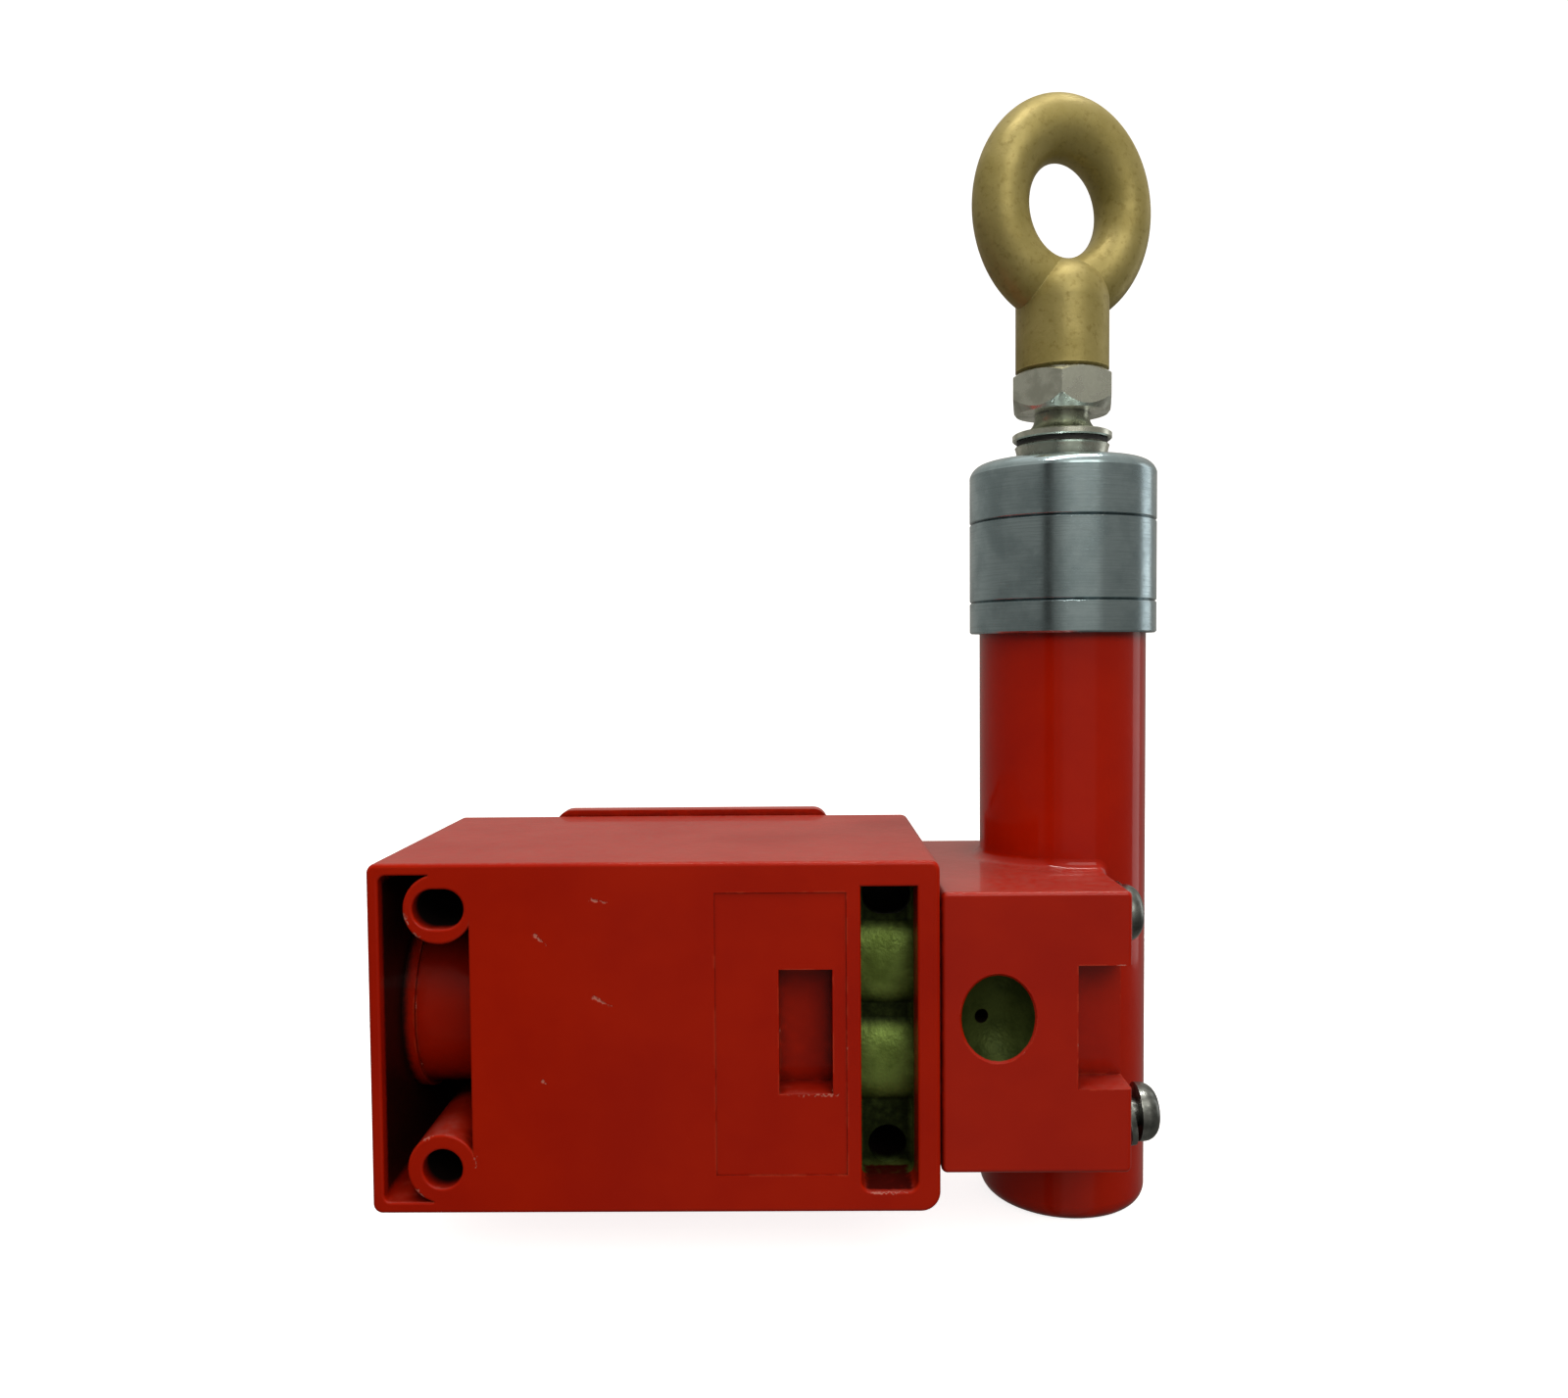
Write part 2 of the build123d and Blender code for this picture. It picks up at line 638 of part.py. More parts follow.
# ---------------------------------------------------------------- collar on the tube
with BuildPart() as lock_ring:
    with BuildSketch(Plane.XY.offset(lock_ring_z)):
        with Locations((rod_x, rod_y)):
            Circle(collar_r)
            Circle(neck_r + press_gap, mode=Mode.SUBTRACT)
    extrude(amount=lock_ring_h)
    rims = lock_ring.edges().filter_by(GeomType.CIRCLE).sort_by(SortBy.RADIUS)[-2:]
    chamfer(rims, length=seam)
lock_ring.part.label = "lock_ring"
export_step(lock_ring.part, "parts/lock_ring.step")

with BuildPart() as collar_sleeve:
    with BuildSketch(Plane.XY.offset(sleeve_z)):
        with Locations((rod_x, rod_y)):
            Circle(collar_r)
            Circle(neck_r + press_gap, mode=Mode.SUBTRACT)
    extrude(amount=collar_sleeve_h)
    rims = collar_sleeve.edges().filter_by(GeomType.CIRCLE).sort_by(SortBy.RADIUS)[-2:]
    chamfer(rims, length=seam)
collar_sleeve.part.label = "collar_sleeve"
export_step(collar_sleeve.part, "parts/collar_sleeve.step")

with BuildPart() as collar_cap:
    with BuildSketch(rod_plane):
        with BuildLine():
            Polyline((bush_r + press_gap, spring_top), (neck_r, spring_top), (neck_r, cap_z),
                     (collar_r - seam, cap_z), (collar_r, cap_z + seam),
                     (collar_r, cap_top - cap_corner_h))
            ThreePointArc((collar_r, cap_top - cap_corner_h), (collar_r - 0.75, cap_top - 1.15),
                          (collar_r - 2.7, cap_top - 0.55))
            Polyline((collar_r - 2.7, cap_top - 0.55), (bush_nose_r, cap_top),
                     (bush_r + press_gap, cap_top), (bush_r + press_gap, spring_top))
        make_face()
    revolve(axis=rod_axis)
collar_cap.part.label = "collar_cap"
export_step(collar_cap.part, "parts/collar_cap.step")

with BuildPart() as guide_bush:
    with BuildSketch(rod_plane):
        with BuildLine():
            Polyline((rod_r + run_gap, spring_top + 0.2), (bush_r, spring_top + 0.2),
                     (bush_r, cap_top), (bush_nose_r - 0.5, cap_top),
                     (bush_nose_r - 0.1, cap_top + 0.8 * bush_nose_h),
                     (bush_nose_r, nose_top - 0.2), (bush_nose_r - 0.2, nose_top),
                     (rod_r + run_gap, nose_top), close=True)
        make_face()
    revolve(axis=rod_axis)
guide_bush.part.label = "guide_bush"
export_step(guide_bush.part, "parts/guide_bush.step")

with BuildPart() as wiper_ring:
    with BuildSketch(Plane.XY.offset(nose_top)):
        with Locations((rod_x, rod_y)):
            Circle(wiper_r)
            Circle(rod_r + run_gap, mode=Mode.SUBTRACT)
    extrude(amount=wiper_t)
wiper_ring.part.label = "wiper_ring"
export_step(wiper_ring.part, "parts/wiper_ring.step")

# ---------------------------------------------------------------- pull rod
clip_z = seat_z - seat_h - clip_t
rod_end = cam_nut_bottom - rod_tail
with BuildPart() as pull_rod:
    with BuildSketch(rod_plane):
        with BuildLine():
            Polyline((0, rod_end), (cam_bore_r - 0.4, rod_end),
                     (cam_bore_r, rod_end + 0.4), (cam_bore_r, cam_top_z),
                     (rod_r, cam_top_z), (rod_r, clip_z), (rod_r - 0.8, clip_z),
                     (rod_r - 0.8, clip_z + clip_t), (rod_r, clip_z + clip_t),
                     (rod_r, flange_z), (rod_flange_r - 0.2, flange_z),
                     (rod_flange_r, flange_z + 0.2), (rod_flange_r, flange_z + rod_flange_t - 0.2),
                     (rod_flange_r - 0.3, flange_z + rod_flange_t))
            ThreePointArc((rod_flange_r - 0.3, flange_z + rod_flange_t),
                          (rod_r + 1.0, flange_z + rod_flange_t + 0.6),
                          (rod_r + 0.1, nut_z - 0.3))
            Polyline((rod_r + 0.1, nut_z - 0.3), (rod_r + 0.1, nut_z), (rod_r, nut_z),
                     (rod_r, eye_z + rod_in_eye - 0.8), (rod_r - 0.8, eye_z + rod_in_eye),
                     (0, eye_z + rod_in_eye), (0, rod_end))
        make_face()
    revolve(axis=rod_axis)
pull_rod.part.label = "pull_rod"
export_step(pull_rod.part, "parts/pull_rod.step")

nut_corner_r = nut_af / 2 / math.cos(math.radians(30))
with BuildPart() as jam_nut:
    with BuildSketch(Plane.XY.offset(nut_z)):
        with Locations((rod_x, rod_y)):
            RegularPolygon(nut_af / 2, 6, major_radius=False, rotation=30 + nut_turn)
            Circle(rod_r + press_gap, mode=Mode.SUBTRACT)
    extrude(amount=nut_h)
    with BuildSketch(rod_plane):
        with BuildLine():
            Polyline((0, nut_z), (nut_af / 2 - 0.3, nut_z), (nut_corner_r, nut_z + nut_bevel_low),
                     (nut_corner_r, nut_z + nut_h - nut_bevel_high), (nut_af / 2 - 0.3, nut_z + nut_h),
                     (0, nut_z + nut_h), close=True)
        make_face()
    revolve(axis=rod_axis, mode=Mode.INTERSECT)
jam_nut.part.label = "jam_nut"
export_step(jam_nut.part, "parts/jam_nut.step")

# The rope eye: a stretched ring on a domed shank with a threaded blind hole.
with BuildPart() as eye_ring:
    Torus(eye_ring_r, eye_wire_r, rotation=(90, 0, 0))
    scale(by=(1, 1, eye_stretch))
ring = eye_ring.part.moved(Location((rod_x, rod_y, eye_centre_z), (0, 0, eye_turn)))
with BuildPart() as eye_nut:
    add(ring)
    with BuildSketch(rod_plane):
        with BuildLine():
            Polyline((0, eye_z), (eye_shank_r - 0.5, eye_z), (eye_shank_r, eye_z + 0.5),
                     (eye_shank_r, eye_z + eye_shank_h))
            ThreePointArc((eye_shank_r, eye_z + eye_shank_h),
                          (eye_shank_r * math.sqrt(0.5), eye_z + eye_shank_h + eye_shank_r * 0.68),
                          (0, eye_z + eye_shank_h + eye_shank_r * 0.96))
            Line((0, eye_z + eye_shank_h + eye_shank_r * 0.96), (0, eye_z))
        make_face()
    revolve(axis=rod_axis)
    with BuildSketch(Plane.XY.offset(eye_z)):
        with Locations((rod_x, rod_y)):
            Circle(rod_r + press_gap)
    extrude(amount=rod_in_eye + 0.5, mode=Mode.SUBTRACT)
eye_nut.part.label = "eye_nut"
export_step(eye_nut.part, "parts/eye_nut.step")

with BuildPart() as spring_seat:
    with BuildSketch(Plane.XY.offset(seat_z - seat_h)):
        with Locations((rod_x, rod_y)):
            Circle(bore_r - free_gap)
            Circle(rod_r + press_gap, mode=Mode.SUBTRACT)
    extrude(amount=seat_h)
    chamfer(spring_seat.edges().filter_by(GeomType.CIRCLE).sort_by(SortBy.RADIUS)[-2:], length=0.4)
spring_seat.part.label = "spring_seat"
export_step(spring_seat.part, "parts/spring_seat.step")

with BuildPart() as seat_clip:
    with BuildSketch(Plane.XY.offset(clip_z)):
        with Locations((rod_x, rod_y)):
            Circle(clip_r)
            Circle(rod_r - 0.8 + press_gap, mode=Mode.SUBTRACT)
        with Locations((rod_x, rod_y + clip_r)):
            Rectangle(2 * (rod_r - 1.3), 2 * clip_r, mode=Mode.SUBTRACT)
    extrude(amount=clip_t)
seat_clip.part.label = "seat_clip"
export_step(seat_clip.part, "parts/seat_clip.step")

with BuildPart() as trip_cam:
    with BuildSketch(rod_plane):
        with BuildLine():
            Polyline((cam_bore_r + press_gap, cam_top_z), (cam_top_r, cam_top_z),
                     (cam_top_r, cam_cone_top), (cam_bottom_r, cam_cone_bottom),
                     (cam_bottom_r, cam_land_top), (bore_r - run_gap, cam_land_top),
                     (bore_r - run_gap, cam_land_bottom), (cam_bore_r + press_gap, cam_land_bottom),
                     close=True)
        make_face()
    revolve(axis=rod_axis)
trip_cam.part.label = "trip_cam"
export_step(trip_cam.part, "parts/trip_cam.step")

with BuildPart() as cam_nut:
    with BuildSketch(Plane.XY.offset(cam_nut_bottom)):
        with Locations((rod_x, rod_y)):
            RegularPolygon(cam_nut_af / 2, 6, major_radius=False)
            Circle(cam_bore_r + press_gap, mode=Mode.SUBTRACT)
    extrude(amount=cam_nut_h)
cam_nut.part.label = "cam_nut"
export_step(cam_nut.part, "parts/cam_nut.step")

# Return spring between the seat and the cap.
spring_r = bore_r - free_gap - spring_wire_r - 0.3
with BuildPart() as return_spring:
    coil = coil_spring(spring_top - seat_z, spring_r, spring_wire_r, spring_turns)
    add(coil.moved(Location((rod_x, rod_y, seat_z))))
return_spring.part.label = "return_spring"
export_step(return_spring.part, "parts/return_spring.step")

# ---------------------------------------------------------------- plunger in the head
bush_x = head_x - spigot_length + 2 * seal_r + 0.4
with BuildPart() as plunger_bush:
    with BuildSketch(end_at(bush_x)):
        with Locations((rod_y, 0)):
            Circle(plunger_r + plunger_bush_wall)
            Circle(plunger_r + run_gap, mode=Mode.SUBTRACT)
    extrude(amount=plunger_bush_length)
plunger_bush.part.label = "plunger_bush"
export_step(plunger_bush.part, "parts/plunger_bush.step")

with BuildPart() as plunger_seal:
    with BuildSketch(plunger_plane):
        with Locations((bush_x - seal_r - 0.1, plunger_r + run_gap + seal_r)):
            Circle(seal_r)
    revolve(axis=plunger_axis)
plunger_seal.part.label = "plunger_seal"
export_step(plunger_seal.part, "parts/plunger_seal.step")

with BuildPart() as head_plunger:
    with BuildSketch(plunger_plane):
        with BuildLine():
            Polyline((stem_end, 0), (stem_end, plunger_r - 0.4), (stem_end + 0.4, plunger_r),
                     (plunger_tip - plunger_r, plunger_r))
            ThreePointArc((plunger_tip - plunger_r, plunger_r),
                          (plunger_tip - plunger_r * (1 - math.sqrt(0.5)), plunger_r * math.sqrt(0.5)),
                          (plunger_tip, 0))
            Line((plunger_tip, 0), (stem_end, 0))
        make_face()
    revolve(axis=plunger_axis)
head_plunger.part.label = "head_plunger"
export_step(head_plunger.part, "parts/head_plunger.step")

# ---------------------------------------------------------------- contact block
well_mid_z = cavity_half_z + terminal_well_length / 2
with BuildPart() as contact_base:
    with BuildSketch(face_at(block_y0)):
        with Locations(((block_x0 + block_x1) / 2, 0)):
            RectangleRounded(block_x1 - block_x0, 2 * block_half_z, 1.0)
    extrude(amount=block_y0 - block_y1)
    with BuildSketch(face_at(block_y0 + block_wall)):
        with Locations(((cavity_left + cavity_right) / 2, 0)):
            Rectangle(cavity_right - cavity_left, 2 * cavity_half_z)
    extrude(amount=block_y0 + block_wall - block_y1, mode=Mode.SUBTRACT)
    with BuildSketch(face_at(lid_y)):
        with Locations(((cavity_left + cavity_right) / 2, 0)):
            Rectangle(cavity_right - cavity_left + 2 * block_lid_rim, 2 * (cavity_half_z + block_lid_rim))
    extrude(amount=-block_lid_t, mode=Mode.SUBTRACT)
    with BuildSketch(face_at(terminal_y)):
        for x in terminal_x:
            with Locations((x, well_mid_z), (x, -well_mid_z)):
                Rectangle(2 * terminal_well_half, terminal_well_length)
    extrude(amount=-terminal_drop, mode=Mode.SUBTRACT)
    with BuildSketch(face_at(terminal_y)):
        with Locations(*terminal_spots):
            Circle(block_screw_r + press_gap)
    extrude(amount=8.0, mode=Mode.SUBTRACT)
    with BuildSketch(face_at(block_y0)):
        with Locations(*block_screw_spots):
            Circle(block_screw_r + 0.15)
    extrude(amount=block_y0 - block_y1, mode=Mode.SUBTRACT)
    with BuildSketch(end_at(block_x1)):
        with Locations((rod_y, 0)):
            Circle(stem_r + run_gap)
    extrude(amount=-block_wall - 1.0, mode=Mode.SUBTRACT)
contact_base.part.label = "contact_base"
export_step(contact_base.part, "parts/contact_base.step")

with BuildPart() as contact_lid:
    with BuildSketch(face_at(lid_y)):
        with Locations(((cavity_left + cavity_right) / 2, 0)):
            Rectangle(cavity_right - cavity_left + 2 * block_lid_rim - 0.1,
                      2 * (cavity_half_z + block_lid_rim) - 0.1)
    extrude(amount=-block_lid_t)
contact_lid.part.label = "contact_lid"
export_step(contact_lid.part, "parts/contact_lid.step")

with BuildPart() as block_screws:
    with BuildSketch(face_at(block_y1)):
        with Locations(*block_screw_spots):
            Circle(block_screw_head_r)
    extrude(amount=-block_screw_head_h)
    with BuildSketch(face_at(block_y1 + block_screw_head_h)):
        with Locations(*block_screw_spots):
            Rectangle(2 * block_screw_head_r, 0.7)
    extrude(amount=0.9, mode=Mode.SUBTRACT)
    with BuildSketch(face_at(block_y1)):
        with Locations(*block_screw_spots):
            Circle(block_screw_r)
    extrude(amount=block_y1 - block_y0 + 8.0)
block_screws.part.label = "block_screws"
export_step(block_screws.part, "parts/block_screws.step")

# Fixed contacts: a plate under each terminal screw and a leg beside the moving bridge.
# The pair at the lower X opens the other way round: it closes when the carrier moves.
bridge_x = (terminal_x[0] - strip_t + plunger_travel + contact_gap + 0.6, terminal_x[1])
leg_x = (bridge_x[0] - plunger_travel - contact_gap - strip_t, bridge_x[1] + bridge_t + contact_gap)
leg_depth = terminal_y - rod_y + bridge_half_y + 0.4
with BuildPart() as fixed_contacts:
    for x, leg in zip(terminal_x, leg_x):
        for side in (-1, 1):
            with BuildSketch(face_at(terminal_y)):
                with Locations((x, side * (terminal_z - 0.1))):
                    Rectangle(2 * strip_half, 4.8)
                with Locations((x, side * (cavity_half_z + 0.2))):
                    Rectangle(2 * strip_half, 6.4)
                with Locations((x, side * terminal_z)):
                    Circle(block_screw_r + 0.1, mode=Mode.SUBTRACT)
            extrude(amount=-strip_t)
            with BuildSketch(face_at(terminal_y + strip_t)):
                with Locations((leg + strip_t / 2, side * 6.1)):
                    Rectangle(strip_t, 2.2)
            extrude(amount=leg_depth + strip_t)
fixed_contacts.part.label = "fixed_contacts"
export_step(fixed_contacts.part, "parts/fixed_contacts.step")

with BuildPart() as terminal_clamps:
    with BuildSketch(face_at(terminal_y + strip_t)):
        with Locations(*terminal_spots):
            Rectangle(5.0, 4.4)
        with Locations(*terminal_spots):
            Circle(block_screw_r + 0.1, mode=Mode.SUBTRACT)
    extrude(amount=-strip_t)
terminal_clamps.part.label = "terminal_clamps"
export_step(terminal_clamps.part, "parts/terminal_clamps.step")

terminal_head_y = terminal_y + 2 * strip_t
with BuildPart() as terminal_screws:
    with BuildSketch(face_at(terminal_head_y)):
        with Locations(*terminal_spots):
            Circle(terminal_screw_head_r)
    extrude(amount=-block_screw_head_h)
    with BuildSketch(face_at(terminal_head_y + block_screw_head_h)):
        with Locations(*terminal_spots):
            Rectangle(2 * terminal_screw_head_r, 0.7)
    extrude(amount=0.8, mode=Mode.SUBTRACT)
    with BuildSketch(face_at(terminal_head_y)):
        with Locations(*terminal_spots):
            Circle(block_screw_r)
    extrude(amount=terminal_head_y - terminal_y + 7.0)
terminal_screws.part.label = "terminal_screws"
export_step(terminal_screws.part, "parts/terminal_screws.step")

# Moving carrier with a stem, two windows and the contact bridges in them.
window = bridge_t + 2.6
window_x = (bridge_x[0] - 0.05, bridge_x[1] + bridge_t + 0.05 - window)
with BuildPart() as contact_carrier:
    with BuildSketch(end_at(carrier_left)):
        with Locations((rod_y, 0)):
            Rectangle(2 * carrier_half_y, 2 * carrier_half_z)
    extrude(amount=carrier_right - carrier_left)
    with BuildSketch(end_at(carrier_right)):
        with Locations((rod_y, 0)):
            Circle(stem_r)
    extrude(amount=stem_end - carrier_right)
    with BuildSketch(Plane.XY.offset(-carrier_half_z)):
        for x in window_x:
            with Locations((x + window / 2, rod_y)):
                Rectangle(window, 2 * small_spring_r + 1.0)
    extrude(amount=2 * carrier_half_z, mode=Mode.SUBTRACT)
contact_carrier.part.label = "contact_carrier"
export_step(contact_carrier.part, "parts/contact_carrier.step")

with BuildPart() as contact_bridges:
    for x in bridge_x:
        with BuildSketch(end_at(x)):
            with Locations((rod_y, 0)):
                RectangleRounded(2 * bridge_half_y, 2 * bridge_half_z, 0.4)
        extrude(amount=bridge_t)
contact_bridges.part.label = "contact_bridges"
export_step(contact_bridges.part, "parts/contact_bridges.step")

bridge_spring_x = (bridge_x[0] + bridge_t, window_x[1])
with BuildPart() as bridge_springs:
    for x in bridge_spring_x:
        coil = coil_spring(window - bridge_t - 0.05, small_spring_r, small_spring_wire, 3)
        add(coil.moved(Location((x, rod_y, 0), (0, 90, 0))))
bridge_springs.part.label = "bridge_springs"
export_step(bridge_springs.part, "parts/bridge_springs.step")

# Carrier return coil, at the length it has when the carrier is pushed right in.
with BuildPart() as carrier_spring:
    coil = coil_spring(carrier_left - plunger_travel - cavity_left, return_coil_r, return_coil_wire, 4)
    add(coil.moved(Location((cavity_left, rod_y, 0), (0, 90, 0))))
carrier_spring.part.label = "carrier_spring"
export_step(carrier_spring.part, "parts/carrier_spring.step")

# ---------------------------------------------------------------- earth terminal
with BuildPart() as earth_clamp:
    with BuildSketch(face_at(earth_post_top)):
        with Locations((earth_x, earth_z)):
            Rectangle(7.0, 6.0)
            Circle(earth_screw_r + 0.1, mode=Mode.SUBTRACT)
    extrude(amount=-earth_clamp_t)
earth_clamp.part.label = "earth_clamp"
export_step(earth_clamp.part, "parts/earth_clamp.step")

earth_head_y = earth_post_top + earth_clamp_t
with BuildPart() as earth_screw:
    with BuildSketch(face_at(earth_head_y)):
        with Locations((earth_x, earth_z)):
            Circle(earth_screw_head_r)
    extrude(amount=-earth_screw_head_h)
    with BuildSketch(face_at(earth_head_y + earth_screw_head_h)):
        with Locations((earth_x, earth_z)):
            Rectangle(2 * earth_screw_head_r, 0.8)
    extrude(amount=1.0, mode=Mode.SUBTRACT)
    with BuildSketch(face_at(earth_head_y)):
        with Locations((earth_x, earth_z)):
            Circle(earth_screw_r)
    extrude(amount=6.0)
earth_screw.part.label = "earth_screw"
export_step(earth_screw.part, "parts/earth_screw.step")
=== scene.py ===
import math

import bpy
from mathutils import Matrix, Vector


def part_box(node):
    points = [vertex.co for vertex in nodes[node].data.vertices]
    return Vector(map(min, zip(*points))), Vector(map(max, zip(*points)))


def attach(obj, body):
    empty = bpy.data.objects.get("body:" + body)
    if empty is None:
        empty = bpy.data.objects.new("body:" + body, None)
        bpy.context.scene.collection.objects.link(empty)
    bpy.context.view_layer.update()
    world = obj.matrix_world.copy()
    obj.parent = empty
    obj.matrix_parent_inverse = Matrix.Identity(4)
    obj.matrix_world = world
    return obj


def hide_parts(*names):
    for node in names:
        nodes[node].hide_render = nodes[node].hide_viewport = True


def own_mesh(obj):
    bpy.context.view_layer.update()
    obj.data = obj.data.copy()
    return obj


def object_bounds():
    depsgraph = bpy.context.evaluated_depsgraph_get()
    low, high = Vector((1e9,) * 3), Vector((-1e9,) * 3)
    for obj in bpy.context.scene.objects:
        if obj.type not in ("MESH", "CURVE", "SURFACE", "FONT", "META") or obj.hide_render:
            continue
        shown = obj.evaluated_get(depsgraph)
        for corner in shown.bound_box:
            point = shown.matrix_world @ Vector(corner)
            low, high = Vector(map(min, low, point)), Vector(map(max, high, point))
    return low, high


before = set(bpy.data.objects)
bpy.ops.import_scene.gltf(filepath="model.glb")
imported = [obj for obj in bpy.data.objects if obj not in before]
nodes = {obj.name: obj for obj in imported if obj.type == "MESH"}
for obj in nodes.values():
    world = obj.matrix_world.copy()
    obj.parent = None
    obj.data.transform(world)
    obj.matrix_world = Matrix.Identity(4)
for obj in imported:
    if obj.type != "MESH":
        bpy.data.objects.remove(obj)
cad_low, cad_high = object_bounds()
MM = 0.001

# Lines that the parts share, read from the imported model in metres.
body_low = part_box("body_casting")[0]
head_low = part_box("head_casting")[0]
collar_low, collar_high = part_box("collar_cap")
joint_face_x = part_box("head_gasket")[1].x
rod_x = (collar_low.x + collar_high.x) / 2
rod_y = (collar_low.y + collar_high.y) / 2


def linear(red, green, blue):
    """A display colour, 0 to 255 a channel, as the linear values that shaders take."""
    def channel(value):
        value /= 255
        return value / 12.92 if value <= 0.04045 else ((value + 0.055) / 1.055) ** 2.4
    return (channel(red), channel(green), channel(blue), 1.0)


# ---------------------------------------------------------------- node helpers
def feed(tree, socket, value):
    """Links another node's output to a socket, or fills the socket with a plain value."""
    if isinstance(value, bpy.types.NodeSocket):
        tree.links.new(value, socket)
    else:
        socket.default_value = value


def node(tree, kind, inputs=None, **settings):
    """Adds a shader node, sets it up, and links or fills the named inputs."""
    made = tree.nodes.new("ShaderNode" + kind)
    for name, value in settings.items():
        setattr(made, name, value)
    for name, value in (inputs or {}).items():
        feed(tree, made.inputs[name], value)
    return made


def sums(tree, operation, first, second=0.0):
    """One Math node's result."""
    return node(tree, "Math", {0: first, 1: second}, operation=operation).outputs[0]


def product(tree, first, second):
    """Two numbers or masks multiplied."""
    return sums(tree, "MULTIPLY", first, second)


def rest_of(tree, mask):
    """What a mask leaves over: 1 where it is 0, and 0 where it is full."""
    return sums(tree, "SUBTRACT", 1.0, mask)


def raised(tree, base, mask, by):
    """The number base, raised by that much where the mask is full."""
    return sums(tree, "ADD", base, product(tree, mask, by))


def vectors(tree, operation, first, second=(0, 0, 0)):
    """One Vector Math node, whose result is outputs[0], or outputs[1] for a single number."""
    return node(tree, "VectorMath", {0: first, 1: second}, operation=operation)


def ramp(tree, value, low, high, to_low=0.0, to_high=1.0):
    """A smooth step of value from low to high."""
    return node(tree, "MapRange", {"Value": value, "From Min": low, "From Max": high,
                                   "To Min": to_low, "To Max": to_high},
                interpolation_type="SMOOTHSTEP").outputs["Result"]


def mixed(tree, mask, base, over):
    """base colour under over colour, by mask."""
    return node(tree, "Mix", {0: mask, 6: base, 7: over}, data_type="RGBA").outputs[2]


def blended(tree, mask, base, over):
    """The number base under the number over, by mask."""
    return node(tree, "Mix", {0: mask, 2: base, 3: over}, data_type="FLOAT").outputs[0]


def object_mm(tree):
    """Place on the object, in millimetres."""
    place = node(tree, "TexCoord").outputs["Object"]
    return node(tree, "VectorMath", {0: place, "Scale": 1 / MM}, operation="SCALE").outputs[0]


def group(name, inputs, outputs):
    """An empty shader node group with named sockets, and its input and output ends."""
    tree = bpy.data.node_groups.new(name, "ShaderNodeTree")
    for label, kind, value in inputs:
        tree.interface.new_socket(label, in_out="INPUT", socket_type=kind).default_value = value
    for label, kind in outputs:
        tree.interface.new_socket(label, in_out="OUTPUT", socket_type=kind)
    given = tree.nodes.new("NodeGroupInput").outputs
    return tree, given, tree.nodes.new("NodeGroupOutput").inputs


NUMBER, VECTOR = "NodeSocketFloat", "NodeSocketVector"


# ---------------------------------------------------------------- effects shared by the materials
def make_grain():
    """Soft three-dimensional mottling: a height from -0.5 to 0.5 and a patchy mask."""
    tree, given, out = group("grain", [
        ("Size", NUMBER, 1.0), ("Detail", NUMBER, 3.0),
        ("Low", NUMBER, 0.4), ("High", NUMBER, 0.6)],
        [("Height", NUMBER), ("Mask", NUMBER)])
    place = vectors(tree, "DIVIDE", object_mm(tree), given["Size"]).outputs[0]
    noise = node(tree, "TexNoise", {"Vector": place, "Scale": 1.0, "Detail": given["Detail"],
                                    "Roughness": 0.55}).outputs[0]
    tree.links.new(sums(tree, "SUBTRACT", noise, 0.5), out["Height"])
    tree.links.new(ramp(tree, noise, given["Low"], given["High"]), out["Mask"])
    return tree


def make_edge_wear():
    """A mask along outer edges that breaks up along each edge: where edges are rubbed, and on the
    enamel also a painted highlight along them.
    """
    tree, given, out = group("edge_wear", [
        ("Width", NUMBER, 0.4), ("Patch", NUMBER, 3.0), ("Amount", NUMBER, 0.5)],
        [("Mask", NUMBER)])
    rounded = node(tree, "Bevel", {"Radius": product(tree, given["Width"], MM)}, samples=6)
    true_normal = node(tree, "NewGeometry").outputs["Normal"]
    turn = vectors(tree, "DOT_PRODUCT", rounded.outputs[0], true_normal).outputs[1]
    least_turn, full_turn = 0.015, 0.12
    edge = ramp(tree, rest_of(tree, turn), least_turn, full_turn)
    place = vectors(tree, "DIVIDE", object_mm(tree), given["Patch"]).outputs[0]
    patch = node(tree, "TexNoise", {"Vector": place, "Scale": 1.0, "Detail": 4.0}).outputs[0]
    never_kept, swing, fade = 0.85, 0.5, 0.06
    limit = sums(tree, "SUBTRACT", never_kept, product(tree, given["Amount"], swing))
    kept = ramp(tree, patch, limit, sums(tree, "ADD", limit, fade))
    tree.links.new(product(tree, edge, kept), out["Mask"])
    return tree


def make_upward_faces():
    """A thin patchy mask on faces that look upwards: a light settled dusting, and on the enamel
    partly a painted grey sheen of the top faces.
    """
    tree, given, out = group("upward_faces", [("Amount", NUMBER, 0.3)], [("Mask", NUMBER)])
    facing = node(tree, "SeparateXYZ", {0: node(tree, "NewGeometry").outputs["Normal"]}).outputs[2]
    steepest, level = 0.55, 1.0
    lying = ramp(tree, facing, steepest, level)
    fine = node(tree, "TexNoise", {"Vector": object_mm(tree), "Scale": 0.9, "Detail": 6.0,
                                   "Roughness": 0.7}).outputs[0]
    cover = product(tree, lying, ramp(tree, fine, 0.15, 0.95))
    tree.links.new(product(tree, cover, given["Amount"]), out["Mask"])
    return tree


